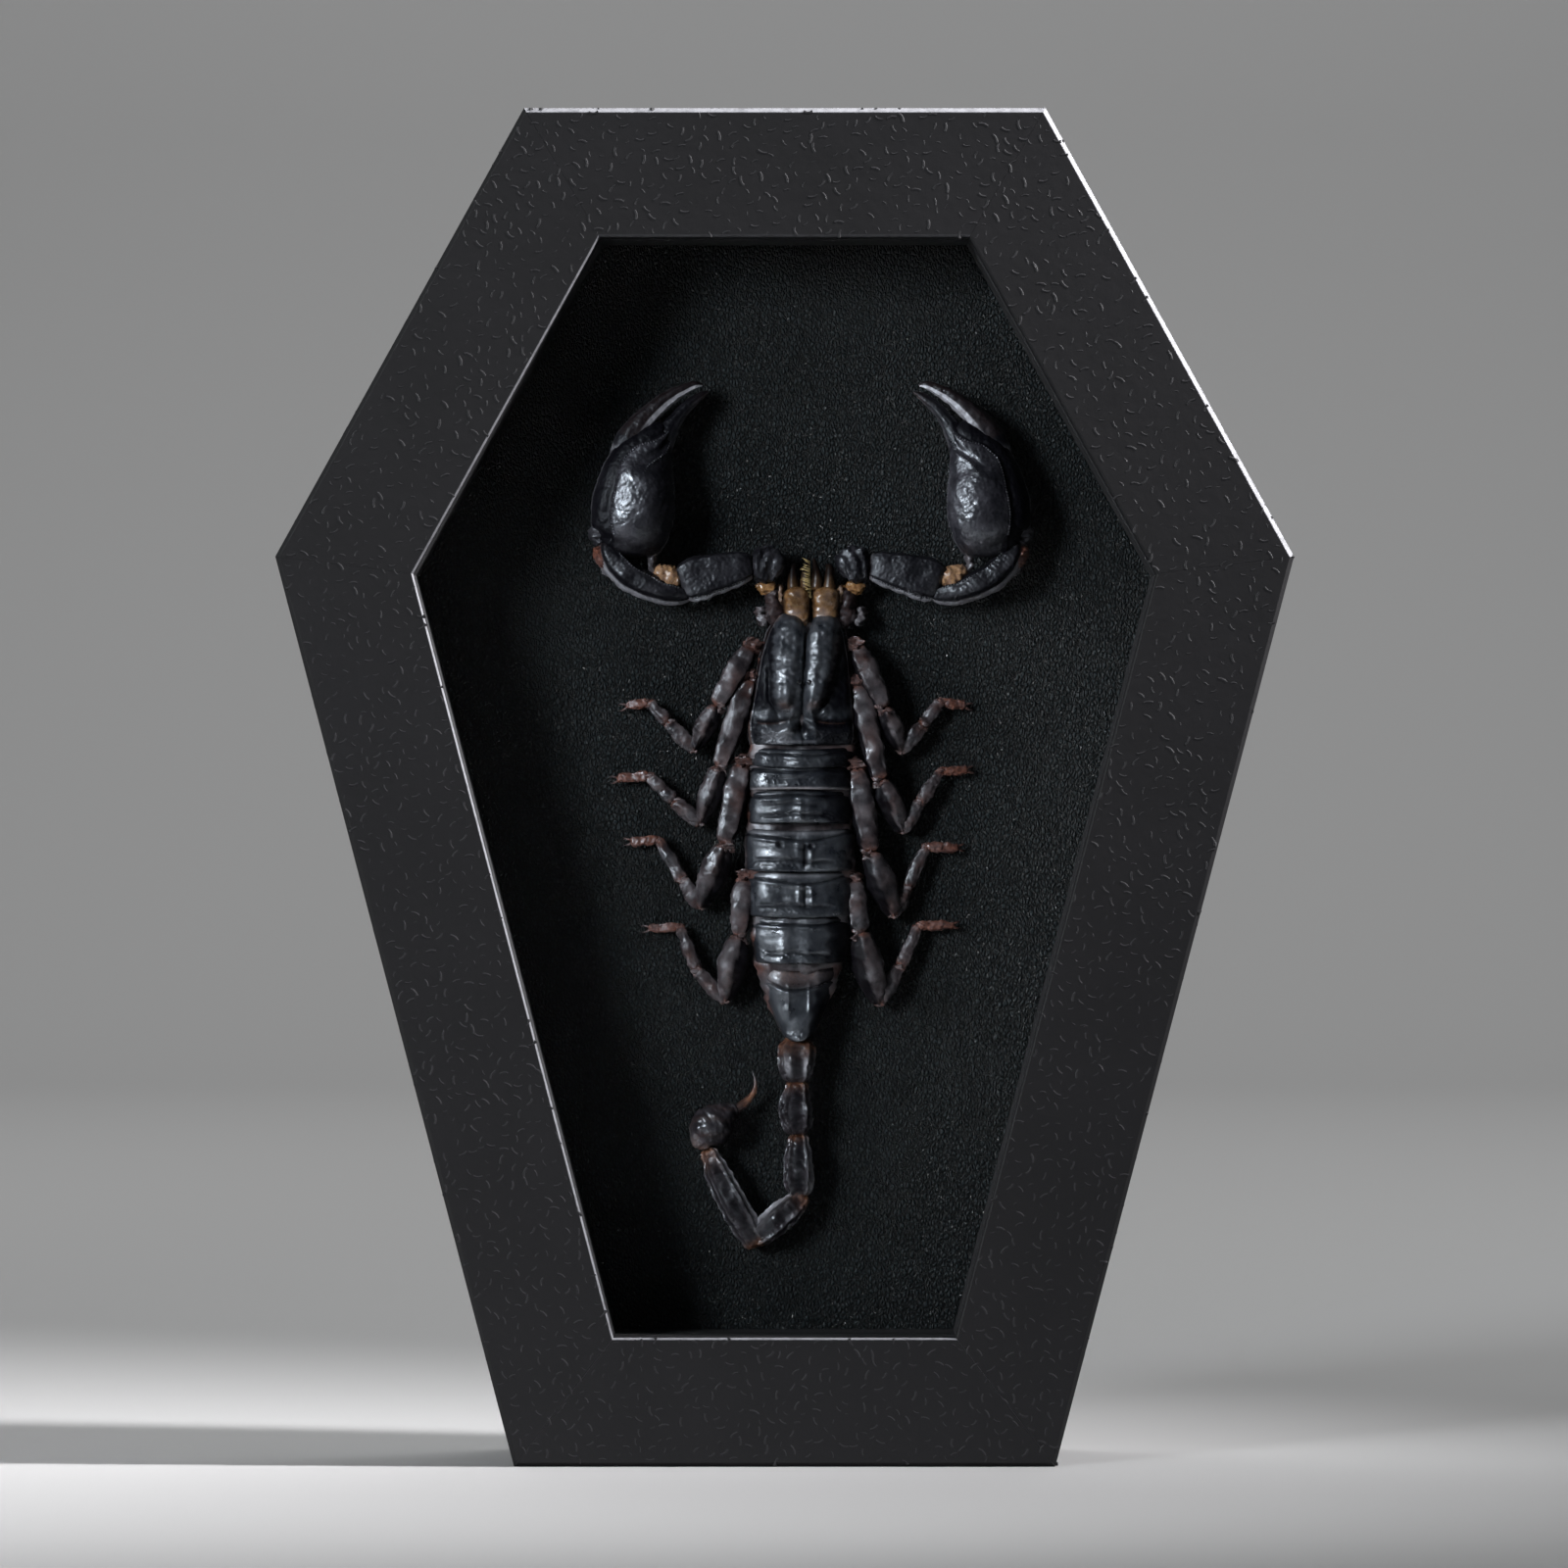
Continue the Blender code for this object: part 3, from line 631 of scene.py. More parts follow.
@dataclass
class SweptShell:
    """A round-ended hollow segment along a curved line, such as a leg's joint or a claw's palm.

    Stations are (x, z, height, half width, half thickness) in millimetres. A turn of 0 faces across the
    line, a quarter turn faces the glass, and a half turn faces across to the other side.
    """

    stations: Sequence[Sequence[float]]
    sides: int = 24
    rows: int = 24
    squareness: float = 2.0
    round_start: float = 0.7
    round_end: float = 0.7
    TABLE_ROWS = 240

    def __post_init__(self) -> None:
        """Works out the smooth line and its directions."""
        listed = np.array(self.stations, float)
        placed = np.column_stack(
            (listed[:, 0], LEATHER_Y - listed[:, 2], listed[:, 1], listed[:, 3], listed[:, 4])
        )
        table = smooth_path(placed, self.TABLE_ROWS)
        self.middle = table[:, :3]
        self.wide = np.maximum(table[:, 3], 0.02)
        self.thick = np.maximum(table[:, 4], 0.02)
        steps = np.linalg.norm(np.diff(self.middle, axis=0), axis=1)
        self.reach = np.concatenate(((0.0,), np.cumsum(steps)))
        self.length = float(self.reach[-1])
        along = np.gradient(self.middle, axis=0)
        self.along = along / np.linalg.norm(along, axis=1)[:, None]

    def surface(self, share: Array, turn: Array, relief: Relief | None = None) -> Array:
        """Places on the shell.

        Args:
            share: how far along the segment, from 0 to 1.
            turn: the angle round it, in radians.
            relief: adds millimetres outward at (share, turn, plain places).

        Returns:
            Rows of places in millimetres.
        """
        share, turn = np.broadcast_arrays(np.asarray(share, float), np.asarray(turn, float))
        share, turn = share.ravel(), turn.ravel()
        run = share * self.length
        middle = np.column_stack([np.interp(run, self.reach, self.middle[:, k]) for k in range(3)])
        along = np.column_stack([np.interp(run, self.reach, self.along[:, k]) for k in range(3)])
        wide = np.interp(run, self.reach, self.wide)
        thick = np.interp(run, self.reach, self.thick)
        across = np.cross(along, OUT)
        across /= np.linalg.norm(across, axis=1)[:, None]
        up = np.cross(across, along)
        up /= np.linalg.norm(up, axis=1)[:, None]
        dome = self.dome(run)
        power = 2.0 / self.squareness
        side = np.sign(np.cos(turn)) * np.abs(np.cos(turn)) ** power
        rise = np.sign(np.sin(turn)) * np.abs(np.sin(turn)) ** power
        offset = across * (wide * dome * side)[:, None] + up * (thick * dome * rise)[:, None]
        places = middle + offset
        if relief is not None:
            facing = across * (np.cos(turn) / wide)[:, None] + up * (np.sin(turn) / thick)[:, None]
            facing /= np.linalg.norm(facing, axis=1)[:, None]
            places = places + facing * (relief(share, turn, places) * np.minimum(1.0, dome * 1.4))[:, None]
        return places

    def dome(self, run: Array) -> Array:
        """How full the section is at a distance along the line: it closes to a point at both ends."""
        full = np.ones_like(run)
        for gap, size in (
            (run, self.round_start * self.wide[0]), (self.length - run, self.round_end * self.wide[-1]),
        ):
            near = unit(1.0 - gap / max(size, 1e-3))
            full = np.minimum(full, np.sqrt(np.maximum(1.0 - near**2, 0.0)))
        return full

    def row_shares(self) -> Array:
        """The rows' shares of the length, closer together near the ends."""
        even = np.arange(1, self.rows) / self.rows
        eased = 0.5 - 0.5 * np.cos(math.pi * even)
        return 0.45 * even + 0.55 * eased

    def add_to(self, draft: MeshDraft, relief: Relief | None = None, tones: Callable | None = None) -> None:
        """Adds the segment to a draft.

        Args:
            draft: what it becomes part of.
            relief: its ridges, pits and dents, as for surface.
            tones: gives a dict of tone arrays for arrays of (share, turn).
        """
        shares = self.row_shares()
        turns = np.arange(self.sides) * 2 * math.pi / self.sides
        share, turn = (grid.ravel() for grid in np.meshgrid(shares, turns, indexing="ij"))
        places = self.surface(share, turn, relief)
        ends = self.middle[[0, -1]]
        faces = []
        last = (len(shares) - 1) * self.sides
        first_tip = len(places)
        for k in range(self.sides):
            after = (k + 1) % self.sides
            for row in range(len(shares) - 1):
                low = row * self.sides
                faces.append((low + k, low + after, low + self.sides + after, low + self.sides + k))
            faces.append((first_tip, after, k))
            faces.append((first_tip + 1, last + k, last + after))
        share = np.concatenate((share, (0.0, 1.0)))
        turn = np.concatenate((turn, (0.0, 0.0)))
        draft.add(np.vstack((places, ends)), faces, tones(share, turn) if tones else None)


def dress(
    name: str, finish: Finish, node: str, shapes: Sequence[tuple], mirror_x: float | None = None,
) -> None:
    """Builds one piece from swept segments and hangs it on the frame.

    Args:
        name: the piece's name.
        finish: what its surface is.
        node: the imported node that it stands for.
        shapes: each segment's shell, its relief and its tones, as add_to takes them.
        mirror_x: where given, the piece is turned to the other side of this X.
    """
    draft = MeshDraft()
    for shell, relief, tones in shapes:
        shell.add_to(draft, relief, tones)
    present(draft.build(name, finish, mirror_x), finish, node)


def add_plate(
    draft: MeshDraft, top: Array, thickness: float, tones: Tones | None = None,
    core: Sequence[float] | None = None,
) -> None:
    """Adds a curved plate to a draft.

    Args:
        draft: what it becomes part of.
        top: a grid of places in millimetres, rows by columns.
        thickness: how far its edge reaches back.
        tones: values for the grid's points.
        core: where given, the plate is filled down to this place. Otherwise its underside repeats its top.
    """
    rows, columns = top.shape[:2]
    number = np.arange(rows * columns).reshape(rows, columns)
    edge = [*number[0, :], *number[1:, -1], *number[-1, -2::-1], *number[-2:0:-1, 0]]
    faces = []
    for row in range(rows - 1):
        for k in range(columns - 1):
            faces.append((number[row, k], number[row, k + 1], number[row + 1, k + 1], number[row + 1, k]))
    upper = top.reshape(-1, 3)
    if core is None:
        lower = upper + (0.0, thickness, 0.0)
        faces.extend([tuple(rows * columns + q for q in reversed(quad)) for quad in faces])
        match = {int(point): rows * columns + int(point) for point in edge}
    else:
        lower = np.vstack((upper[edge] + (0.0, thickness, 0.0), core))
        match = {int(point): rows * columns + k for k, point in enumerate(edge)}
    for k, point in enumerate(edge):
        after = edge[(k + 1) % len(edge)]
        faces.append((point, after, match[int(after)], match[int(point)]))
        if core is not None:
            faces.append((match[int(point)], match[int(after)], rows * columns + len(edge)))
    filled = {}
    for key, value in (tones or {}).items():
        flat = np.asarray(value).ravel()
        filled[key] = np.concatenate((flat, flat if core is None else np.zeros(len(lower))))
    draft.add(np.vstack((upper, lower)), faces, filled)


# Geometry Nodes


class GrowthTree:
    """A Geometry Nodes tree under construction, with its named inputs."""

    def __init__(self, name: str, sizes: dict[str, float], finish: Finish) -> None:
        """Starts a tree that takes a shape and named sizes.

        Args:
            name: the tree's name.
            sizes: each input's name and value.
            finish: the finish of what it grows.
        """
        self.tree = bpy.data.node_groups.new(name, "GeometryNodeTree")
        face = self.tree.interface
        face.new_socket("Geometry", in_out="INPUT", socket_type="NodeSocketGeometry")
        self.identifiers = {}
        for key in sizes:
            kind = "NodeSocketInt" if isinstance(sizes[key], int) else "NodeSocketFloat"
            self.identifiers[key] = face.new_socket(key, in_out="INPUT", socket_type=kind).identifier
        face.new_socket("Geometry", in_out="OUTPUT", socket_type="NodeSocketGeometry")
        self.sizes = sizes
        self.finish = finish
        self.entry = self.tree.nodes.new("NodeGroupInput")

    def add(self, kind: str, inputs: dict | None = None, **settings) -> bpy.types.Node:
        """Adds a node to the tree, as add_node does."""
        return add_node(self.tree, kind, inputs, **settings)

    def close(self, grown: bpy.types.NodeSocket, kept: bpy.types.NodeSocket | None = None) -> None:
        """Ends the tree: realizes what has grown, gives it its finish and joins what is kept."""
        real = self.add("GeometryNodeRealizeInstances", {0: grown})
        round_shape = self.add("GeometryNodeSetShadeSmooth", {0: real.outputs[0]})
        result = round_shape.outputs[0]
        if kept is not None:
            join = self.add("GeometryNodeJoinGeometry")
            self.tree.links.new(kept, join.inputs[0])
            self.tree.links.new(result, join.inputs[0])
            result = join.outputs[0]
        finished = self.add("GeometryNodeSetMaterial", {0: result, "Material": self.finish.material()})
        self.add("NodeGroupOutput", {0: finished.outputs[0]})

    def grow(self, host: bpy.types.Object, **sizes: float) -> None:
        """Runs the tree on host, which keeps the result as its plain mesh and no modifier.

        Args:
            host: the object that carries the input shape.
            sizes: values that differ from the tree's own, with underscores for spaces.
        """
        modifier = host.modifiers.new("growth", "NODES")
        modifier.node_group = self.tree
        asked = {**self.sizes, **{key.replace("_", " "): value for key, value in sizes.items()}}
        for key, value in asked.items():
            modifier[self.identifiers[key]] = value
        bpy.context.view_layer.update()
        ready = host.evaluated_get(bpy.context.evaluated_depsgraph_get())
        grown = bpy.data.meshes.new_from_object(ready)
        host.modifiers.clear()
        host.data = grown


def bead_tree(finish: Finish) -> GrowthTree:
    """A tree that sets a row of uneven beads along a line, as on a scorpion's keels."""
    sizes = {"Bead Radius": 0.00019, "Spacing": 0.00042, "Seed": 3}
    growth = GrowthTree(f"beaded keel in {finish.name}", sizes, finish)
    entry = growth.entry.outputs
    line = growth.add("GeometryNodeMeshToCurve", {0: entry["Geometry"]})
    spaced = growth.add("GeometryNodeResampleCurve", {0: line.outputs[0]}, mode="LENGTH")
    growth.tree.links.new(entry["Spacing"], spaced.inputs["Length"])
    bead = growth.add("GeometryNodeMeshIcoSphere", {"Radius": entry["Bead Radius"], "Subdivisions": 2})
    size = growth.add(
        "FunctionNodeRandomValue", {2: 0.55, 3: 1.2, "Seed": entry["Seed"]}, data_type="FLOAT",
    )
    spread = growth.add(
        "GeometryNodeInstanceOnPoints",
        {"Points": spaced.outputs[0], "Instance": bead.outputs[0], "Scale": size.outputs[1]},
    )
    growth.close(spread.outputs[0])
    return growth


def bristle_tree(finish: Finish) -> GrowthTree:
    """A tree that grows tapering bristles from the points of a line, out along the points' normals."""
    sizes = {"Length": 0.0016, "Thickness": 0.00007, "Spacing": 0.0003, "Seed": 5}
    growth = GrowthTree(f"bristles in {finish.name}", sizes, finish)
    entry = growth.entry.outputs
    line = growth.add("GeometryNodeMeshToCurve", {0: entry["Geometry"]})
    spaced = growth.add("GeometryNodeResampleCurve", {0: line.outputs[0]}, mode="LENGTH")
    growth.tree.links.new(entry["Spacing"], spaced.inputs["Length"])
    spike = growth.add(
        "GeometryNodeMeshCone",
        {
            "Vertices": 5, "Radius Top": 0.00001, "Radius Bottom": entry["Thickness"],
            "Depth": entry["Length"],
        },
    )
    lean = growth.add(
        "FunctionNodeRandomValue", {0: (-0.35, -1.9, -0.2), 1: (0.35, -1.1, 0.2), "Seed": entry["Seed"]},
        data_type="FLOAT_VECTOR",
    )
    size = growth.add("FunctionNodeRandomValue", {2: 0.6, 3: 1.2, "Seed": entry["Seed"]}, data_type="FLOAT")
    spread = growth.add(
        "GeometryNodeInstanceOnPoints",
        {
            "Points": spaced.outputs[0], "Instance": spike.outputs[0], "Rotation": lean.outputs[0],
            "Scale": size.outputs[1],
        },
    )
    growth.close(spread.outputs[0])
    return growth


def fleck_tree(finish: Finish) -> GrowthTree:
    """A tree that embosses short curved fibres over the covered faces of a rail."""
    sizes = {
        "Spacing": 0.00129, "Density": 900000.0, "Bend Radius": 0.0011, "Fibre Radius": 0.00024,
        "Sink": 0.00019, "Seed": 11,
    }
    growth = GrowthTree("embossed fibres", sizes, finish)
    entry = growth.entry.outputs
    covered = growth.add("GeometryNodeInputNamedAttribute", {"Name": "covered"}, data_type="FLOAT")
    more = {0: covered.outputs[0], 1: 0.5}
    chosen = growth.add("FunctionNodeCompare", more, data_type="FLOAT", operation="GREATER_THAN")
    spots = growth.add(
        "GeometryNodeDistributePointsOnFaces",
        {
            "Mesh": entry["Geometry"], "Selection": chosen.outputs[0], "Distance Min": entry["Spacing"],
            "Density Max": entry["Density"], "Seed": entry["Seed"],
        },
        distribute_method="POISSON",
    )
    arc = growth.add(
        "GeometryNodeCurveArc",
        {"Resolution": 4, "Radius": entry["Bend Radius"], "Start Angle": -0.5, "Sweep Angle": 1.0},
        mode="RADIUS",
    )
    round_section = {"Resolution": 6, "Radius": entry["Fibre Radius"]}
    thread = growth.add("GeometryNodeCurvePrimitiveCircle", round_section, mode="RADIUS")
    fibre = growth.add(
        "GeometryNodeCurveToMesh", {0: arc.outputs[0], 1: thread.outputs[0], "Fill Caps": True},
    )
    back = growth.add("ShaderNodeMath", {0: entry["Bend Radius"], 1: -1.0}, operation="MULTIPLY")
    down = growth.add("ShaderNodeMath", {0: entry["Sink"], 1: -1.0}, operation="MULTIPLY")
    shift = growth.add("ShaderNodeCombineXYZ", {0: back.outputs[0], 2: down.outputs[0]})
    laid = growth.add("GeometryNodeTransform", {0: fibre.outputs[0], "Translation": shift.outputs[0]})
    marked = growth.add(
        "GeometryNodeStoreNamedAttribute", {0: laid.outputs[0], "Name": "fleck", "Value": 1.0},
        data_type="FLOAT", domain="POINT",
    )
    spin = growth.add(
        "FunctionNodeRandomValue", {0: (0.0, 0.0, 0.0), 1: (0.0, 0.0, FULL_TURN), "Seed": entry["Seed"]},
        data_type="FLOAT_VECTOR",
    )
    heading = growth.add(
        "FunctionNodeRotateRotation", {"Rotation": spots.outputs["Rotation"], "Rotate By": spin.outputs[0]},
        rotation_space="LOCAL",
    )
    size = growth.add(
        "FunctionNodeRandomValue", {2: 0.45, 3: 1.35, "Seed": entry["Seed"]}, data_type="FLOAT",
    )
    spread = growth.add(
        "GeometryNodeInstanceOnPoints",
        {
            "Points": spots.outputs[0], "Instance": marked.outputs[0], "Rotation": heading.outputs[0],
            "Scale": size.outputs[1],
        },
    )
    growth.close(spread.outputs[0], entry["Geometry"])
    return growth


def line_object(name: str, places: Array) -> bpy.types.Object:
    """An open line of edges through places in millimetres, for a tree to grow on."""
    mesh = bpy.data.meshes.new(name)
    mesh.from_pydata((places * MM).tolist(), [(k, k + 1) for k in range(len(places) - 1)], [])
    return add_object(name, mesh)


# The case


@dataclass
class CaseOutline:
    """The coffin outline of the case and the section of its rails."""

    height: float = 200.0
    shoulder_height: float = 134.0
    shoulder_width: float = 150.0
    top_width: float = 76.8
    bottom_width: float = 79.7
    face_width: float = 19.0
    lip_depth: float = 4.0
    rebate_width: float = 3.5
    fit_gap: float = 0.3
    seam: float = 0.014

    def corners(self, inset: float) -> list[Vector]:
        """Corners of the outline moved inward.

        Args:
            inset: how far inward, in millimetres.

        Returns:
            Six points (x, z), clockwise from the top left.
        """
        top, bottom, shoulder = self.top_width / 2, self.bottom_width / 2, self.shoulder_width / 2
        right = [(top, self.height), (shoulder, self.shoulder_height), (bottom, 0.0)]
        outer = [
            Vector(spot) for spot in (
                (-top, self.height), *right, (-bottom, 0.0), (-shoulder, self.shoulder_height),
            )
        ]
        moved = []
        for k, corner in enumerate(outer):
            before = (corner - outer[k - 1]).normalized()
            after = (outer[(k + 1) % 6] - corner).normalized()
            inward_before, inward_after = Vector((before.y, -before.x)), Vector((after.y, -after.x))
            bisector = (inward_before + inward_after).normalized()
            moved.append(corner + bisector * (inset / bisector.dot(inward_after)))
        return moved

    @property
    def rebate_inset(self) -> float:
        """How far inward the pane, the lining, the leather and the boards start."""
        return self.face_width - self.rebate_width + self.fit_gap

    def slab(self, name: str, finish: Finish, node: str, levels: Sequence[tuple[float, float]]) -> None:
        """Builds a flat slab that fills the rebate.

        Args:
            name: the piece's name.
            finish: what its surface is.
            node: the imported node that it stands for.
            levels: depths from front to back, each with how far the slab's edge is bevelled there.
        """
        rings = []
        for depth, bevel in levels:
            rings.extend((p.x, depth, p.y) for p in self.corners(self.rebate_inset + bevel))
        draft = MeshDraft()
        draft.add(np.array(rings), loft_faces(6, len(levels)))
        present(draft.build(name, finish, smooth=False), finish, node)

    def strip(self, side: Side, section: Sequence[tuple[float, float]]) -> list[Array]:
        """The two mitred end rings of a strip.

        Args:
            side: the side of the case that it runs along.
            section: points of (inset, depth behind the front face).

        Returns:
            Two arrays of places in millimetres.
        """
        outer, inner = self.corners(0.0), self.corners(self.face_width)
        first, second = side.value, (side.value + 1) % 6
        along = (outer[second] - outer[first]).normalized()
        rings = []
        for corner, sign in ((first, 1.0), (second, -1.0)):
            mitre = (inner[corner] - outer[corner]).normalized()
            pull = along * sign * (self.seam / abs(along.x * mitre.y - along.y * mitre.x))
            places = []
            for inset, depth in section:
                spot = self.corners(inset)[corner] + pull
                places.append((spot.x, FRONT_Y + depth, spot.y))
            rings.append(np.array(places))
        return rings


def rounded(corners: Sequence[tuple[float, float, float]], steps: int = 4) -> list[tuple[float, float]]:
    """A closed outline whose corners are rounded.

    Args:
        corners: points of (across, depth, radius).
        steps: how many spans each arc has.

    Returns:
        The outline's points.
    """
    outline = []
    for k, (across, depth, radius) in enumerate(corners):
        here = Vector((across, depth))
        if radius <= 0.0:
            outline.append(tuple(here))
            continue
        before = (Vector(corners[k - 1][:2]) - here).normalized()
        after = (Vector(corners[(k + 1) % len(corners)][:2]) - here).normalized()
        half = before.angle(after) / 2
        centre = here + (before + after).normalized() * (radius / math.sin(half))
        start = here + before * (radius / math.tan(half)) - centre
        end = here + after * (radius / math.tan(half)) - centre
        for step in range(steps + 1):
            arm = start.lerp(end, step / steps).normalized() * radius
            outline.append(tuple(centre + arm))
    return outline


@dataclass
class CoveredRails:
    """Six mitred rails in embossed charcoal covering."""

    outline: CaseOutline
    chamfer: float = 0.62
    edge_radius: float = 0.12
    lip_chamfer: float = 0.24
    back_radius: float = 0.5
    # Painted highlight and painted shade per side, in Side order: highlights on the outer arris of the top
    # and upper right and on the window arris of the bottom and left sides, with a little on the top's;
    # shade on the other outer arrises and on the right sides' window arris.
    outer_highlight: tuple[float, ...] = (1.0, 0.75, 0.0, 0.0, 0.0, 0.0)
    lip_highlight: tuple[float, ...] = (0.2, 0.0, 0.0, 1.0, 0.85, 0.55)
    outer_shade: tuple[float, ...] = (0.0, 0.0, 0.3, 0.9, 0.85, 0.85)
    lip_shade: tuple[float, ...] = (0.0, 0.7, 0.7, 0.0, 0.0, 0.0)

    def section(self) -> list[tuple[float, float]]:
        """The L-shaped section of a rail, with its arrises rounded."""
        case, depth = self.outline, BACK_Y - FRONT_Y
        body = case.face_width - case.rebate_width
        return rounded(
            (
                (self.chamfer, 0.0, self.edge_radius), (self.chamfer + 0.12, 0.0, 0.0),
                (case.face_width - self.lip_chamfer - 0.10, 0.0, 0.0),
                (case.face_width - self.lip_chamfer, 0.0, 0.06), (case.face_width, self.lip_chamfer, 0.06),
                (case.face_width, self.lip_chamfer + 0.10, 0.0), (case.face_width, case.lip_depth, 0.15),
                (body, case.lip_depth, 0.0), (body, depth, 0.3), (0.0, depth, self.back_radius),
                (0.0, self.chamfer + 0.12, 0.0), (0.0, self.chamfer, self.edge_radius),
            )
        )

    def build(self) -> None:
        """Builds the six rails and embosses their outer faces."""
        section = self.section()
        tree = fleck_tree(COVERING)
        count = len(section)
        body = self.outline.face_width - self.outline.rebate_width
        outer = np.array([self.on_outer_arris(*point) for point in section], float)
        lip = np.array([self.on_lip_arris(*point) for point in section], float)
        for side in Side:
            rings = self.outline.strip(side, section)
            draft = MeshDraft()
            # Painted highlight and painted shade for this side's arrises.
            painted_highlight = outer * self.outer_highlight[side.value] + lip * self.lip_highlight[side.value]
            stain = outer * self.outer_shade[side.value] + lip * self.lip_shade[side.value]
            draft.add(
                np.vstack(rings), loft_faces(count), {"edge": np.tile(painted_highlight, 2), "stain": np.tile(stain, 2)},
            )
            rail = draft.build(f"covered_rail_{side.label}", COVERING)
            values = []
            for k in range(count):
                middle = (Vector(section[k]) + Vector(section[(k + 1) % count])) / 2
                outside = middle.x < 0.05 or (middle.y < 0.02 and middle.x < body + 3.0)
                long_side = (Vector(section[k]) - Vector(section[(k + 1) % count])).length > 4.0
                values.append(float(outside and long_side))
            covered = rail.data.attributes.new("covered", "FLOAT", "FACE")
            covered.data.foreach_set("value", [*values, 0.0, 0.0])
            tree.grow(rail, Seed=11 + side.value)
            present(rail, COVERING, f"rail_{side.label}")

    def on_outer_arris(self, inset: float, depth: float) -> bool:
        """Whether a point of the section lies on the chamfer round the outside."""
        return inset < self.chamfer + 0.07 and depth < self.chamfer + 0.07

    def on_lip_arris(self, inset: float, depth: float) -> bool:
        """Whether a point of the section lies on the chamfer round the window."""
        return inset > self.outline.face_width - self.lip_chamfer - 0.05 and depth < self.lip_chamfer + 0.05


@dataclass
class Glazing:
    """The clear pane and the six card strips that line the case behind it."""

    outline: CaseOutline
    arris: float = 0.25

    def build(self) -> None:
        """Builds the pane and the lining strips."""
        front, back = (corner.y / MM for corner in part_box("glass_pane"))
        levels = (
            (front, self.arris), (front + self.arris, 0.0), (back - self.arris, 0.0), (back, self.arris),
        )
        self.outline.slab("picture_glass", GLASS, "glass_pane", levels)
        for side in Side:
            self.lining(side)

    def lining(self, side: Side) -> None:
        """Builds one lining strip, with its arrises eased."""
        near, far = (corner.y / MM - FRONT_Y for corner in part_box(f"spacer_{side.label}"))
        face, inset = self.outline.face_width, self.outline.rebate_inset
        section = rounded(((inset, near, 0.2), (face, near, 0.35), (face, far, 0.2), (inset, far, 0.2)), 3)
        draft = MeshDraft()
        draft.add(np.vstack(self.outline.strip(side, section)), loft_faces(len(section)))
        present(draft.build(f"lining_strip_{side.label}", CARD), CARD, f"spacer_{side.label}")


@dataclass
class LeatherGround:
    """The pebbled leather that the scorpion lies on, over its board."""

    outline: CaseOutline
    rows: int = 150
    columns: int = 70
    swell: float = 0.07

    def build(self) -> None:
        """Builds the leather as a sheet with a slow swell."""
        corners = self.outline.corners(self.outline.rebate_inset)
        low, high = corners[3].y, corners[0].y
        levels = np.linspace(low, high, self.rows)
        left = np.interp(levels, (low, corners[5].y, high), (corners[4].x, corners[5].x, corners[0].x))
        share = np.linspace(0.0, 1.0, self.columns)
        grid = np.zeros((self.rows, self.columns, 3))
        grid[..., 0] = left[:, None] * (1 - 2 * share)
        grid[..., 2] = levels[:, None]
        plain = grid.reshape(-1, 3)
        dips = self.swell * (1.0 + np.tanh(ripple(plain, 22.0, 41)))
        grid[..., 1] = LEATHER_Y + dips.reshape(self.rows, self.columns) * 0.5
        draft = MeshDraft()
        thickness = (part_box("leather_lining")[1].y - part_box("leather_lining")[0].y) / MM - self.swell
        add_plate(draft, grid, thickness, None, (0.0, LEATHER_Y + thickness, 100.0))
        present(draft.build("leather_ground", LEATHER), LEATHER, "leather_lining")


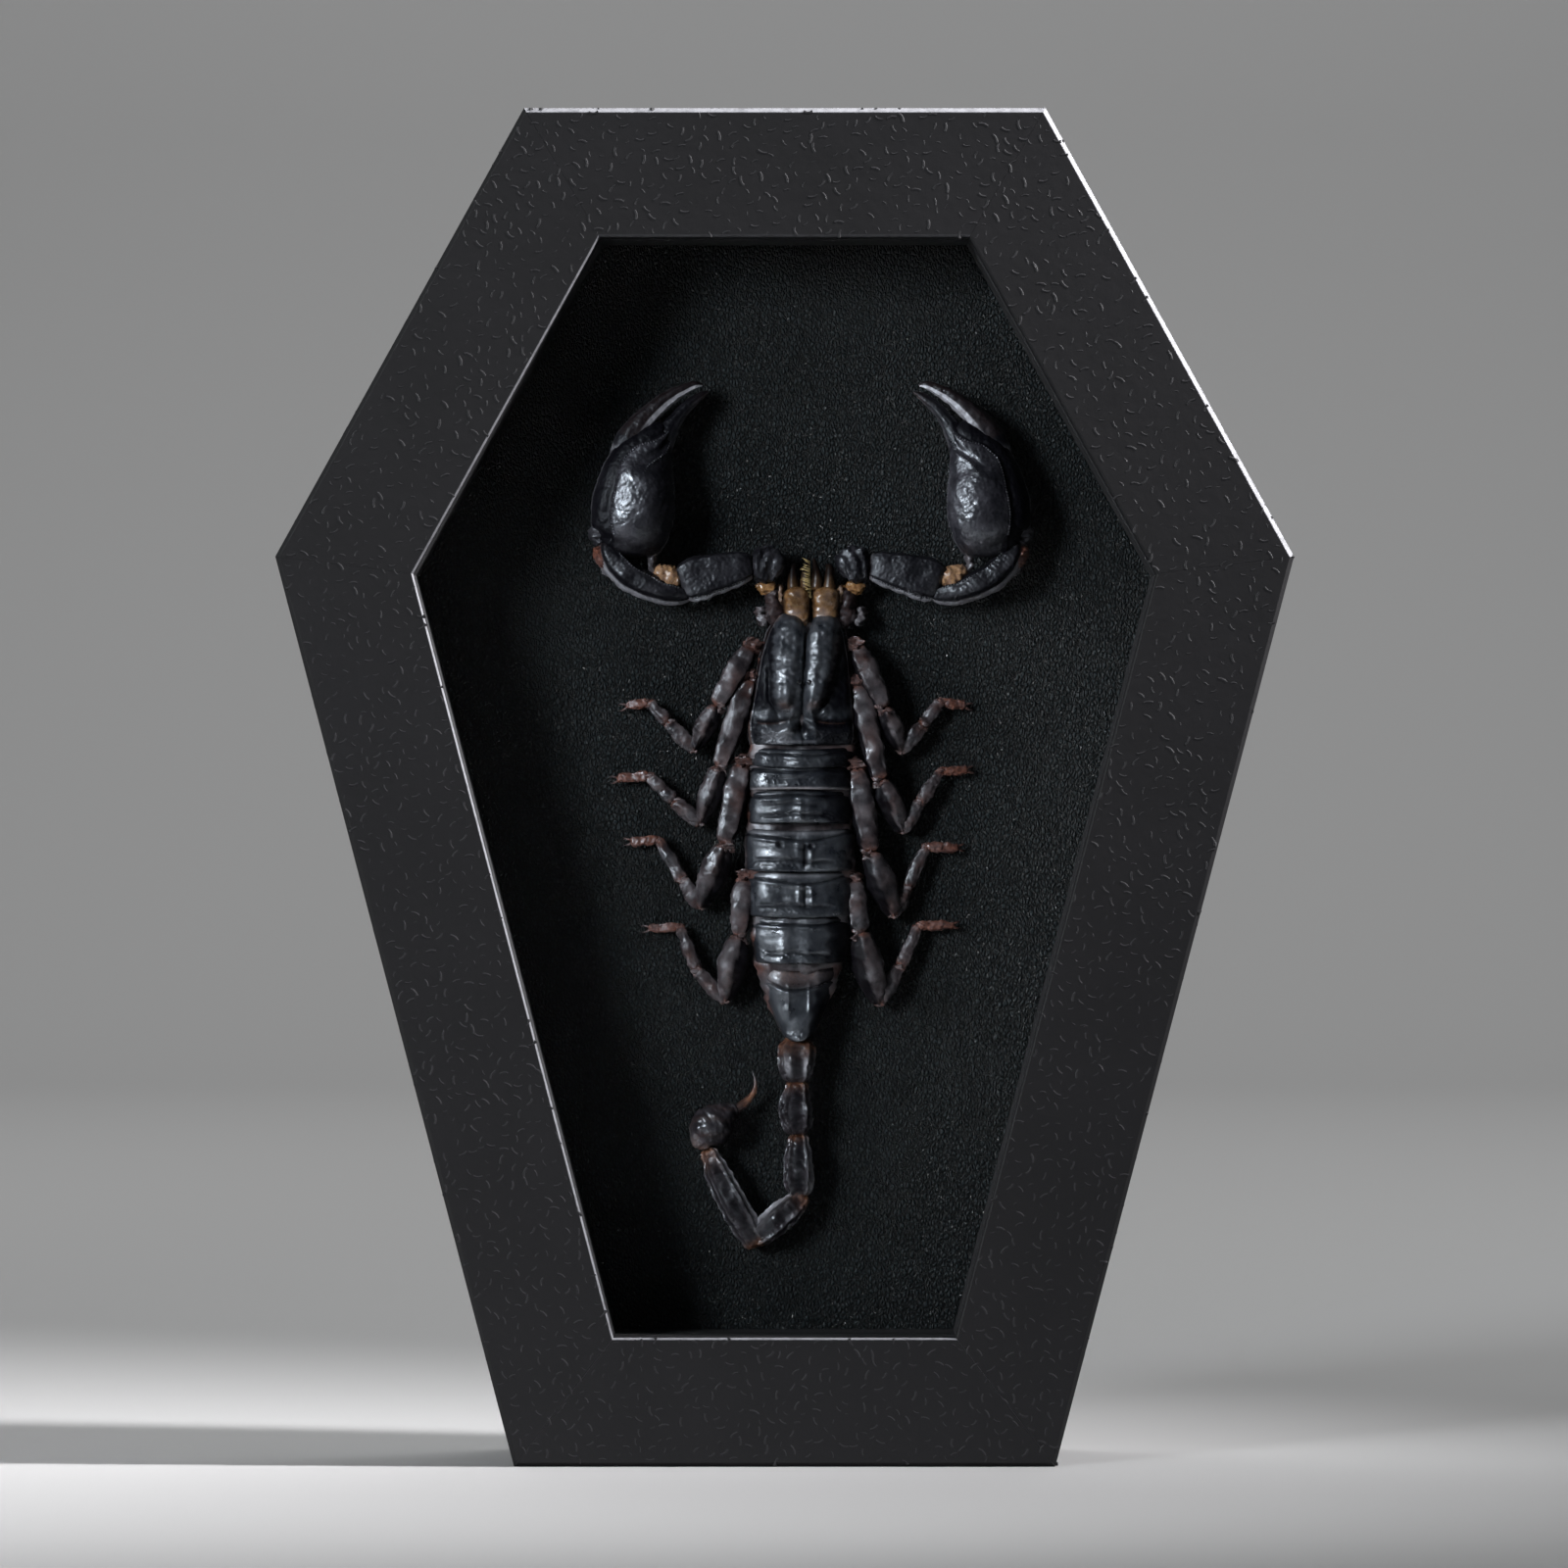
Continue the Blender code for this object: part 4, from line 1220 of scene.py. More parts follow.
@dataclass
class CaseBack:
    """The rear panel with its steel tabs and the toothed hanger."""

    outline: CaseOutline
    arris: float = 0.35
    tab_width: float = 8.0
    tab_reach: float = 6.0
    tab_lift: float = 0.55
    tab_thickness: float = 0.5
    strip_thickness: float = 0.8
    clearance: float = 0.35
    tooth_pitch: float = 2.4
    rivet_radius: float = 1.7
    rivet_sides: int = 20

    def build(self) -> None:
        """Builds the panel, the tabs and the hanger, and gives the board in front of them its finish."""
        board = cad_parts["backing_board"]
        board.data.materials.clear()
        board.data.materials.append(GREY_BOARD.material())
        front, back = (corner.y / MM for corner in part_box("back_panel"))
        levels = ((front, 0.0), (back - self.arris, 0.0), (back, self.arris))
        self.outline.slab("rear_panel", FIBREBOARD, "back_panel", levels)
        for side in Side:
            self.tab(side, back)
        self.hanger(back)

    def tab(self, side: Side, back: float) -> None:
        """Builds a steel tab that is bent over the panel from the middle of one side."""
        corners = self.outline.corners(self.outline.rebate_inset)
        start, end = corners[side.value], corners[(side.value + 1) % 6]
        along = (end - start).normalized()
        inward = Vector((along.y, -along.x))
        middle = (start + end) / 2
        reaches = np.linspace(0.0, 1.0, 10)
        shares = np.linspace(-1.0, 1.0, 9)
        grid = np.zeros((10, 9, 3))
        for row, reach in enumerate(reaches):
            tip = math.sqrt(max(1.0 - max(reach - 0.8, 0.0) ** 2 * 14, 0.05))
            half = self.tab_width / 2 * (1.0 - 0.35 * reach**2) * tip
            lift = self.tab_lift * math.cos(reach * math.pi / 2) ** 2
            for k, share in enumerate(shares):
                spot = middle + along * half * share + inward * (self.tab_reach * reach + 0.1)
                grid[row, k] = (spot.x, back + self.clearance + lift, spot.y)
        draft = MeshDraft()
        add_plate(draft, grid, self.tab_thickness)
        present(draft.build(f"bent_tab_{side.label}", ZINC), ZINC, f"back_tab_{side.label}")

    def hanger(self, back: float) -> None:
        """Builds the toothed hanger with a raised middle and two domed rivets."""
        low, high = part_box("sawtooth_hanger")
        half, top, bottom = high.x / MM, high.z / MM, low.z / MM
        columns = np.linspace(-half, half, 153)
        raised = 0.5 * (1 + np.tanh((half * 0.62 - np.abs(columns)) / 0.8))
        phase = (columns / self.tooth_pitch + 0.5) % 1.0
        teeth = np.abs(phase - 0.5) * self.tooth_pitch * (np.abs(columns) < self.tooth_pitch * 4.5)
        levels = np.linspace(0.0, 1.0, 9)
        round_end = rim_fall((half - np.abs(columns)) / 1.2) * 1.2
        grid = np.zeros((9, len(columns), 3))
        for row, level in enumerate(levels):
            base = bottom + teeth + round_end
            grid[row, :, 0] = columns
            grid[row, :, 1] = back + self.clearance + raised * 0.5
            grid[row, :, 2] = base + (top - round_end - base) * level
        draft = MeshDraft()
        add_plate(draft, grid, self.strip_thickness)
        for sign in (-1.0, 1.0):
            face = back + self.clearance + self.strip_thickness
            draft.add(*self.rivet(sign * (half - 3.6), (top + bottom) / 2, face))
        present(draft.build("toothed_hanger", ZINC), ZINC, "sawtooth_hanger")

    def rivet(self, x: float, z: float, face: float) -> tuple[Array, list[tuple[int, ...]]]:
        """A domed rivet head.

        Args:
            x: its middle, across.
            z: its middle, up.
            face: the depth of the face that it stands on.

        Returns:
            Its points and faces.
        """
        rings = ((-0.3, 1.0), (0.0, 1.0), (0.25, 0.9), (0.5, 0.62), (0.7, 0.3))
        points = []
        for rise, radius in rings:
            arm = self.rivet_radius * radius
            for k in range(self.rivet_sides):
                turn = 2 * math.pi * k / self.rivet_sides
                points.append((x + arm * math.cos(turn), face + rise * 0.8, z + arm * math.sin(turn)))
        return np.array(points), loft_faces(self.rivet_sides, len(rings))


# The scorpion


@dataclass
class BackPlate:
    """One of the seven plates of the scorpion's back."""

    label: str
    front: float
    rear: float
    centre: float
    half_front: float
    half_rear: float
    top: float
    band: float = 0.9
    dip: float = 0.5
    bow: float = 0.25
    amber_front: float = 0.0
    pale_rear: float = 0.0
    pale_band: float = 0.0
    pits: tuple[tuple[float, float, float], ...] = ()
    ridges: tuple[tuple[float, float, float, float, float], ...] = ()
    edge_height: float = 2.5
    # Where across the plate the painted shade on its right flank begins.
    shade_from: float = 0.45
    furrows: tuple[tuple[float, float, float], ...] = ()
    spread: float = 80.0

    def grid(self, rows: int, columns: int) -> tuple[Array, Tones]:
        """The plate's upper face.

        Args:
            rows: points from its front edge to its rear edge.
            columns: points across it.

        Returns:
            A grid of places in millimetres, and its tones.
        """
        side, share, arch = arched_grid(rows, columns, self.spread)
        half = self.half_front + (self.half_rear - self.half_front) * share
        half = half - 0.45 * np.exp(-share * 12.0) - 0.25 * np.exp(-(1 - share) * 14.0)
        half += 0.10 * np.sin(share * 7.0 + self.front)
        x = self.centre + half * side
        bowed = self.bow * (1 - side**2)
        z = (self.front - bowed) + (self.rear - self.front) * share
        height = self.edge_height + (self.top - self.edge_height) * arch**0.62
        height = height - 0.55 * (1 - share) ** 3 + 0.12 * share
        from_front = (self.front - self.rear) * share
        from_rear = (self.front - self.rear) * (1 - share)
        height += self.relief(x, z, side, from_front, from_rear)
        height -= 0.35 * rim_fall(from_rear / 0.35)
        grid = np.stack((x, LEATHER_Y - height, z), axis=-1)
        return grid, self.tones(side, from_front, from_rear, x, z)

    def groove(self, side: Array) -> Array:
        """How far behind the front edge the plate's front groove runs."""
        return (
            self.band + self.dip * np.cos(side * math.pi / 2) ** 2 + 0.12 * np.sin(side * 5.0 + self.front)
        )

    def furrow(self, side: Array, at: float, reach: float) -> tuple[Array, Array]:
        """How far behind the front edge a cross furrow runs, and its share of the full depth there."""
        wavy = at + 0.22 * np.sin(side * 4.0 + self.front) + 0.10 * np.sin(side * 11.0)
        return wavy, unit((reach - np.abs(side + 0.08)) * 6.0)

    def relief(self, x, z, side, from_front, from_rear) -> Array:
        """The plate's groove, creases, pits, ridges and dried dents, in millimetres outward."""
        places = np.stack((x.ravel(), z.ravel() * 0.6, np.zeros(x.size)), axis=1)
        dents = ripple(places, 5.2, int(self.front * 10)).reshape(x.shape)
        wrinkles = ripple(places * (0.35, 1.6, 1.0), 1.5, int(self.front * 7)).reshape(x.shape)
        height = 0.15 * dents + 0.045 * wrinkles
        height -= 0.30 * hump(from_front, self.groove(side), 0.17)
        height += 0.14 * hump(from_front, self.groove(side) + 0.45, 0.3)
        lift = 0.5 + 0.5 * np.sin(z * 1.7 + self.front)
        height = (
            height - 0.10 * lift * hump(np.abs(side), 0.91, 0.03) + 0.10 * hump(np.abs(side), 0.96, 0.02)
        )
        for at, deep, reach in self.furrows:
            wavy, full = self.furrow(side, at, reach)
            height -= deep * hump(from_front, wavy, 0.28) * full
        height += 0.07 * hump(from_rear, 0.75, 0.35)
        grit = ripple(places * (1.0, 1.7, 1.0), 0.62, int(self.front * 3)).reshape(x.shape)
        height += 0.045 * np.maximum(grit, 0.0) * hump(from_rear, 1.1, 0.9)
        for px, pz, radius in self.pits:
            gap = np.hypot(x - px, z - pz)
            height = height - 0.42 * hump(gap, 0.0, radius) + 0.12 * hump(gap, radius * 1.7, radius * 0.6)
        for px, width, rise, low, high in self.ridges:
            run = soft_step(z, high, -0.25, soft_step(z, low, 0.25))
            height += rise * hump(x, px, width) * run
        return height

    def tones(self, side, from_front, from_rear, x, z) -> Tones:
        """Where the plate is amber or pale, and where it is darkened: painted shade on its right flank,
        along its front edge and groove, in its furrows, grooves and pits, and a narrow dark line along its
        left rim.
        """
        amber = self.amber_front * (1 - unit(from_front / max(self.band + self.dip, 0.1)))
        amber += 0.22 * hump(np.abs(side), 0.985, 0.03)
        pale = self.pale_rear * hump(from_rear, 0.12, 0.2)
        middle = self.band * 0.45
        pale += self.pale_band * (from_front < self.groove(side)) * hump(from_front, middle, middle)
        amber += 0.5 * self.pale_rear * hump(from_rear, 0.12, 0.2)
        pale += 0.20 * hump(np.abs(side), 0.985, 0.008)
        # Painted shade: the right flank away from the light, and the front edge, groove, furrows, grooves
        # and pits where shade falls.
        flank = side - self.shade_from - 0.05 * np.sin(z * 2.6)
        ink = soft_step(flank, 0.0, 0.03, 0.88) + 0.9 * hump(from_front, 0.0, 0.28)
        ink = ink + 0.7 * hump(side, -0.97, 0.06) + 0.55 * hump(from_front, self.groove(side), 0.2)
        for at, deep, reach in self.furrows:
            wavy, full = self.furrow(side, at, reach)
            ink += 2.2 * deep * hump(from_front, wavy + 0.1, 0.34) * full
        for px, width, rise, low, high in self.ridges:
            ink += max(-2.0 * rise, 0.0) * hump(x, px, width) * (z > low) * (z < high)
        for px, pz, radius in self.pits:
            ink += 0.95 * hump(np.hypot(x - px, z - pz), 0.0, radius)
        return {"amber": unit(amber), "pale": unit(pale), "ink": np.clip(ink * (1 - pale), 0.0, 0.95)}


@dataclass
class Carapace:
    """The single shield over the scorpion's head, with its two lobes, furrows and eyes."""

    front: float = 125.7
    rear: float = 106.3
    lobe: float = 2.95
    eye_height: float = 115.6
    edge_height: float = 2.6
    spread: float = 80.0

    def middle(self, z: Array) -> Array:
        """The shield's middle at a level."""
        return np.interp(z, (106.5, 109.6, 113.5, 119.4, 123.2, 124.9), (2.65, 2.5, 2.7, 2.95, 3.2, 3.4))

    def half(self, z: Array) -> Array:
        """The shield's half width at a level."""
        return np.interp(
            z, (106.3, 107.4, 109.6, 113.5, 119.4, 123.2, 124.6, 125.7),
            (7.9, 8.2, 8.25, 7.7, 6.95, 6.0, 5.35, 4.4),
        )

    def grid(self, rows: int, columns: int) -> tuple[Array, Tones]:
        """The shield's upper face as a grid of places in millimetres, and its tones."""
        side, share, arch = arched_grid(rows, columns, self.spread)
        level = self.front + (self.rear - self.front) * share
        x_off = self.half(level) * side
        notch = 2.3 * hump(x_off, 0.0, 0.75) - 0.35 * hump(np.abs(x_off), self.lobe - 0.2, 1.6)
        z = level - notch * unit(1 - share * 5.5)
        top = np.interp(
            level, (106.3, 109.0, 113.5, 119.0, 123.0, 125.0, 125.7), (6.4, 6.6, 7.0, 6.9, 6.0, 4.9, 4.2),
        )
        height = self.edge_height + (top - self.edge_height) * arch**0.6
        height += self.relief(x_off, z)
        height -= 0.4 * rim_fall((level - self.rear) / 0.4)
        height -= 1.5 * rim_fall((self.front - level) / 1.3)
        x = self.middle(level) + x_off
        return np.stack((x, LEATHER_Y - height, z), axis=-1), self.tones(x_off, z)

    def relief(self, x: Array, z: Array) -> Array:
        """The shield's lobes, furrows, eye mound and dried dents, in millimetres outward."""
        places = np.stack((x.ravel(), z.ravel(), np.zeros(x.size)), axis=1)
        wide = np.abs(x)
        lobe_x, lobe_w = self.lobes(x, z)
        height = soft_step(z, 112.0, 0.45, 1.25) * np.exp(-((wide - lobe_x) / lobe_w) ** 4)
        height -= soft_step(z, 108.6, 0.5, 0.75 * hump(x, 0.0, 0.36))
        height -= soft_step(z, 111.0, 0.6, 0.42 * hump(wide, lobe_x + lobe_w + 0.45, 0.45))
        height += 0.35 * hump(wide, 0.9 + (112.5 - z) * 0.35, 0.45) * hump(z, 110.6, 1.5)
        mound = np.exp(-((x / 1.15) ** 2) - ((z - self.eye_height) / 1.7) ** 2)
        height += 0.75 * mound
        cut = self.cut(wide)
        height -= 0.55 * hump(z, cut, 0.55) * unit(1.25 - wide / 7.5)
        height += 0.35 * hump(z, cut - 1.3, 0.6) * unit(wide / 2.0)
        height -= 0.75 * np.exp(-((x / 1.2) ** 2) - ((z - 109.3) / 1.2) ** 2)
        height -= 0.12 * hump(wide, self.half(z) - 0.75, 0.16)
        dents = ripple(places * (1.0, 0.75, 1.0), 3.1, 71).reshape(x.shape)
        fine = ripple(places, 0.95, 72).reshape(x.shape)
        grit = ripple(places, 0.5, 73).reshape(x.shape)
        corner = hump(z, 107.6, 1.8) * unit((wide - 1.5) / 2.0)
        return height + 0.10 * dents + 0.035 * fine + 0.07 * corner * np.maximum(grit, 0.0)

    @staticmethod
    def cut(wide: Array) -> Array:
        """The level at which the furrow behind the lobes crosses the shield."""
        return 110.6 - 0.45 * wide + 0.03 * wide**2.2

    @staticmethod
    def lobes(x: Array, z: Array) -> tuple[Array, Array]:
        """How far from the middle each lobe's crest runs, and its half width."""
        levels = (111.0, 113.0, 117.0, 120.5, 124.0)
        left = [
            np.interp(z, levels, row) for row in ((2.2, 2.9, 2.75, 2.7, 2.7), (0.9, 1.5, 1.9, 2.25, 2.2))
        ]
        right = [
            np.interp(z, levels, row) for row in ((1.3, 1.9, 2.6, 2.7, 2.8), (0.7, 1.15, 1.7, 2.1, 2.2))
        ]
        return np.where(x < 0.0, left[0], right[0]), np.where(x < 0.0, left[1], right[1])

    def tones(self, x: Array, z: Array) -> Tones:
        """Where the shield is amber or pale, and where it is darkened, with painted shade in its furrows
        and hollows and on its right side behind the lobes.
        """
        wide = np.abs(x)
        crest, reach = self.lobes(x, z)
        front = soft_step(z, 111.4, 0.25)
        cut = self.cut(wide)
        ragged = 0.16 * np.sin(z * 3.1) + 0.10 * np.sin(z * 7.7 + 1.0)
        slope = soft_step(wide - crest - reach * 0.92 - ragged, 0.0, 0.10)
        # Painted shade in the middle furrow, the furrow behind the lobes, the hollow at the rear and the
        # furrow behind the eyes, and over the right side and along the far left edge behind that furrow;
        # the outer slopes beyond the lobes are darkened too.
        ink = (
            0.92 * front * slope + 0.8 * hump(x, 0.0, 0.16) * (z < 123.0)
            + 0.9 * hump(z, cut + 0.3, 0.55) * (wide > 1.6)
        )
        ink += 0.95 * np.exp(-((wide / 1.5) ** 4) - ((z - 108.9) / 0.95) ** 4) * (wide > 0.2)
        ink = ink + 0.85 * unit((x - 1.8) * 2.0) * (z < cut) + 0.8 * hump(x, -6.9, 0.7) * (z < cut)
        ink += 0.8 * np.exp(-(((x - 1.9) / 0.5) ** 2) - ((z - 117.0) / 0.8) ** 2)
        rim = hump(wide, self.half(z) - 0.10, 0.10) + 0.5 * hump(wide, self.half(z) - 0.62, 0.08)
        amber = (
            0.5 * hump(z, cut + 0.1, 0.16) * (wide > 2.5) * (wide < 6.5)
            + 0.3 * hump(wide, self.half(z) - 0.4, 0.2)
        )
        amber += 0.25 * np.exp(-(((wide - crest) / 0.9) ** 2) - ((z - 112.2) / 0.6) ** 2)
        # Pale on the lobe crests, partly dust and partly painted sheen; the left rear corner is paler than
        # the right.
        dry = np.exp(-(((wide - crest) / reach) ** 4)) * front * (0.5 + 0.5 * np.sin(z * 2.3 + x * 1.1))
        pale = 0.28 * rim + 0.05 * dry + 0.12 * hump(z, 107.7, 1.2) * (x < -1.5) * (x > -6.0)
        pale += 0.16 * hump(z, self.rear + 0.5, 0.18) * (wide < 3.5)
        return {"amber": unit(amber), "pale": unit(pale), "ink": np.clip(ink * (1 - rim), 0.0, 0.95)}


@dataclass
class Trunk:
    """The scorpion's trunk: its soft belly, its shield, its seven back plates and its eyes."""

    plates: tuple[BackPlate, ...] = (
        BackPlate("first", 106.0, 103.2, 2.6, 7.65, 7.75, 6.9, band=0.5, dip=0.5, bow=0.35),
        BackPlate(
            "second", 102.9, 99.55, 2.3, 7.8, 7.9, 7.2, band=0.5, dip=0.2, bow=-0.15, pale_rear=0.6,
            furrows=((1.5, 0.12, 0.4),),
        ),
        BackPlate(
            "third", 99.3, 94.5, 2.3, 7.8, 7.9, 7.5, band=0.6, dip=0.2, bow=-0.2,
            ridges=((2.3, 0.45, 0.24, 95.4, 98.4), (3.1, 0.3, -0.14, 95.0, 96.6)),
            furrows=((2.1, 0.20, 0.55), (3.6, 0.28, 0.75)),
        ),
        BackPlate(
            "fourth", 93.9, 87.7, 2.2, 8.15, 8.25, 7.7, band=0.75, dip=0.75, bow=0.35, pale_band=0.22,
            pits=((-0.7, 91.5, 0.42), (3.9, 91.2, 0.36)), shade_from=0.93,
            furrows=((2.6, 0.10, 0.35), (4.5, 0.26, 0.8)),
            ridges=(
                (3.0, 0.3, -0.4, 88.2, 91.7), (4.0, 0.4, 0.22, 88.2, 91.0), (2.0, 0.35, 0.18, 89.4, 91.8),
            ),
        ),
        BackPlate(
            "fifth", 87.5, 80.9, 2.3, 8.0, 7.9, 7.75, band=0.7, dip=0.9, bow=0.3, pale_band=0.22,
            shade_from=0.93, furrows=((4.9, 0.24, 0.8),),
            ridges=(
                (3.1, 0.35, -0.3, 82.2, 85.6), (2.2, 0.4, 0.18, 82.4, 85.6), (4.1, 0.4, 0.15, 82.4, 85.4),
            ),
        ),
        BackPlate(
            "sixth", 80.8, 73.9, 2.3, 7.5, 6.95, 7.3, band=0.75, dip=0.45, bow=0.15, pale_band=0.12,
            shade_from=0.55, furrows=((5.4, 0.22, 0.75),),
        ),
        BackPlate(
            "seventh", 73.4, 62.9, 2.0, 6.6, 2.5, 6.4, band=1.9, dip=1.0, bow=0.75, amber_front=0.35,
            pale_band=0.10, shade_from=0.5,
            ridges=((0.6, 0.3, 0.2, 66.5, 70.6), (3.7, 0.3, 0.2, 66.5, 70.6)), edge_height=2.3,
        ),
    )
    columns: int = 130
    row_pitch: float = 0.13
    plate_thickness: float = 0.45
    eye_radius: float = 0.42

    def build(self) -> None:
        """Builds the belly, the shield, the plates and the eyes."""
        stations = (
            (3.3, 125.0, 2.2, 4.4, 1.7), (3.1, 121.5, 2.7, 6.1, 2.3), (2.7, 114.0, 2.9, 7.3, 2.55),
            (2.5, 108.0, 2.9, 7.9, 2.55), (2.3, 99.0, 3.0, 7.75, 2.65), (2.2, 90.0, 3.1, 8.0, 2.75),
            (2.3, 80.0, 3.1, 7.4, 2.7), (1.95, 72.0, 3.0, 6.1, 2.6), (2.0, 66.5, 2.8, 4.0, 2.4),
            (2.1, 62.8, 2.7, 2.4, 1.9),
        )
        shell = SweptShell(stations, sides=64, rows=160, squareness=2.5, round_start=0.35, round_end=0.5)
        dress("belly", LEG_SHELL, "scorpion_body", [(shell, self.belly_relief, self.belly_tones)])
        shield = MeshDraft()
        grid, tones = Carapace().grid(190, 170)
        add_plate(shield, grid, self.plate_thickness, tones, (2.7, LEATHER_Y - 2.4, 115.0))
        present(shield.build("head_shield", BACK_SHELL), BACK_SHELL, "scorpion_body")
        for plate in self.plates:
            rows = int((plate.front - plate.rear) / self.row_pitch) + 2
            draft = MeshDraft()
            grid, tones = plate.grid(rows, self.columns)
            core = (plate.centre, LEATHER_Y - 2.2, (plate.front + plate.rear) / 2)
            add_plate(draft, grid, self.plate_thickness, tones, core)
            present(draft.build(f"back_plate_{plate.label}", BACK_SHELL), BACK_SHELL, "scorpion_body")
        self.eyes()

    @staticmethod
    def belly_relief(share: Array, turn: Array, places: Array) -> Array:
        """Folds of the soft sides, in millimetres outward."""
        folds = ripple(places * (0.4, 0.4, 1.3), 1.3, 5)
        return 0.10 * folds + 0.16 * ripple(places, 4.5, 6)

    @staticmethod
    def belly_tones(share: Array, turn: Array) -> Tones:
        """The soft sides are amber in patches along the flank."""
        flank = hump(np.abs(np.cos(turn)), 1.0, 0.35)
        patch = 0.5 + 0.5 * np.sin(share * 61.0 + 2.0 * np.sin(share * 23.0))
        return {"amber": 0.55 * flank * patch, "pale": 0.12 * flank * (1 - patch)}

    def eyes(self) -> None:
        """Builds the two middle eyes and the three small ones at each front corner of the shield."""
        spots = [(x, 115.6, 7.75, self.eye_radius) for x in (2.15, 3.75)]
        for sign in (-1.0, 1.0):
            spots.extend((3.35 + sign * (5.0 + 0.25 * k), 124.0 - 0.75 * k, 3.9, 0.24) for k in range(3))
        shapes = []
        for x, z, height, radius in spots:
            stations = [(x, z + step, height, radius, radius) for step in (-radius, 0.0, radius)]
            shell = SweptShell(stations, sides=16, rows=12, round_start=1.0, round_end=1.0)
            shapes.append((shell, None, None))
        dress("eyes", EYE, "scorpion_body", shapes)


@dataclass
class Mouthparts:
    """The two jaws with their fingers, the claw arms' root plates and the bristles between the jaws."""

    def build(self) -> None:
        """Builds the jaws, the root plates and the bristles."""
        blocks = []
        for x, lean in ((1.85, -0.05), (6.1, 0.05)):
            block = SweptShell(
                (
                    (x - lean, 123.4, 2.8, 1.6, 1.6), (x, 125.6, 3.2, 1.95, 2.0),
                    (x + lean, 128.0, 3.5, 2.05, 2.2), (x + lean * 2, 129.9, 3.3, 1.9, 1.9),
                ),
                sides=48, rows=60, squareness=2.7,
            )
            blocks.append((block, self.block_relief, self.block_tones))
        dress("jaw_blocks", JAW_SHELL, "scorpion_body", blocks)
        fingers = []
        for sign in (-1.0, 1.0):
            for inner, reach in ((0.7, 134.2), (2.6, 133.2)):
                start = 3.98 + sign * inner
                finger = SweptShell(
                    (
                        (start, 129.2, 3.2, 1.0, 1.2), (start + sign * 0.15, 131.3, 3.2, 0.75, 0.95),
                        (start - sign * 0.05, 133.0, 2.9, 0.45, 0.6),
                        (start - sign * 0.35, reach, 2.6, 0.16, 0.2),
                    ),
                    sides=18, rows=26,
                )
                fingers.append((finger, None, self.finger_tones))
        dress("jaw_fingers", JAW_SHELL, "scorpion_body", fingers)
        self.root_plates()
        self.bristles()

    @staticmethod
    def block_relief(share: Array, turn: Array, places: Array) -> Array:
        """A dent across each jaw and fine wrinkles."""
        return (
            -0.25 * hump(share, 0.52, 0.12) * np.maximum(np.sin(turn), 0.0) + 0.06 * ripple(places, 1.2, 9)
        )

    @staticmethod
    def block_tones(share: Array, turn: Array) -> Tones:
        """The jaws are amber, with a painted highlight on the side facing the glass, painted shade down
        both sides and a dark band across each.
        """
        across = np.cos(turn)
        # Painted highlight, only on the side that faces the glass.
        pale = 0.30 * hump(share, 0.42, 0.10) * hump(across, -0.2, 0.4)
        pale += 0.12 * hump(share, 0.8, 0.1) * hump(across, 0.1, 0.25)
        # Painted shade down both sides.
        ink = 0.75 * unit((np.abs(across) - 0.72) * 5.0)
        ink += 0.5 * hump(share, 0.72, 0.12) * hump(across, 0.0, 0.3)
        amber = 0.45 + 0.45 * hump(share, 0.22, 0.16)
        return {"amber": amber, "pale": pale * (np.sin(turn) > 0.0), "ink": np.clip(ink, 0.0, 0.85)}

    @staticmethod
    def finger_tones(share: Array, turn: Array) -> Tones:
        """The jaw fingers darken towards their tips."""
        return {"amber": unit(0.5 - 0.8 * share), "ink": np.clip(0.35 + 0.9 * share, 0.0, 0.9)}

    def root_plates(self) -> None:
        """Builds the knobbly plates beside the jaws, which carry the claw arms."""
        dark = (
            (
                (
                    (0.6, 122.6, 2.2, 1.2, 1.5), (-1.0, 125.4, 2.4, 1.3, 1.7), (-1.6, 128.0, 2.5, 1.2, 1.8),
                    (-1.4, 130.0, 2.6, 0.9, 1.4),
                ),
                0.25, 0.0, 0.55,
            ),
            (
                ((-2.7, 124.2, 2.5, 0.6, 0.9), (-3.5, 125.6, 2.6, 0.75, 1.1), (-3.6, 127.0, 2.6, 0.5, 0.8)),
                0.05, 0.22, 0.0,
            ),
            (
                ((-1.9, 123.6, 2.2, 0.5, 0.9), (-2.4, 126.0, 2.7, 0.6, 1.1), (-1.8, 128.4, 2.7, 0.5, 0.9)),
                0.15, 0.05, 0.6,
            ),
        )
        tan = (
            (
                ((-4.2, 130.4, 2.7, 0.6, 1.0), (-2.8, 129.8, 3.0, 0.95, 1.3), (-1.2, 129.9, 3.0, 0.8, 1.2)),
                0.95, 0.0, 0.0,
            ),
            (
                (
                    (-0.6, 127.0, 2.8, 0.35, 0.9), (-0.7, 128.6, 3.1, 0.45, 1.1),
                    (-0.5, 130.2, 3.0, 0.35, 0.9),
                ),
                0.6, 0.15, 0.2,
            ),
        )
        for hand, mirror in ((Hand.LEFT, None), (Hand.RIGHT, CLAW_MIDDLE_X)):
            for finish, pieces in ((LEG_SHELL, dark), (JAW_SHELL, tan)):
                shapes = []
                for stations, *shares in pieces:
                    shell = SweptShell(stations, sides=26, rows=36, squareness=2.5)
                    shapes.append((shell, self.root_relief, partial(self.root_tones, shares=shares)))
                name = f"claw_root_{finish.name.split()[0]}_{hand.value}"
                dress(name, finish, "scorpion_body", shapes, mirror)

    @staticmethod
    def root_relief(share: Array, turn: Array, places: Array) -> Array:
        """The small and large knobs of the root plates."""
        return 0.12 * ripple(places, 0.9, 17) + 0.12 * ripple(places, 2.2, 18)

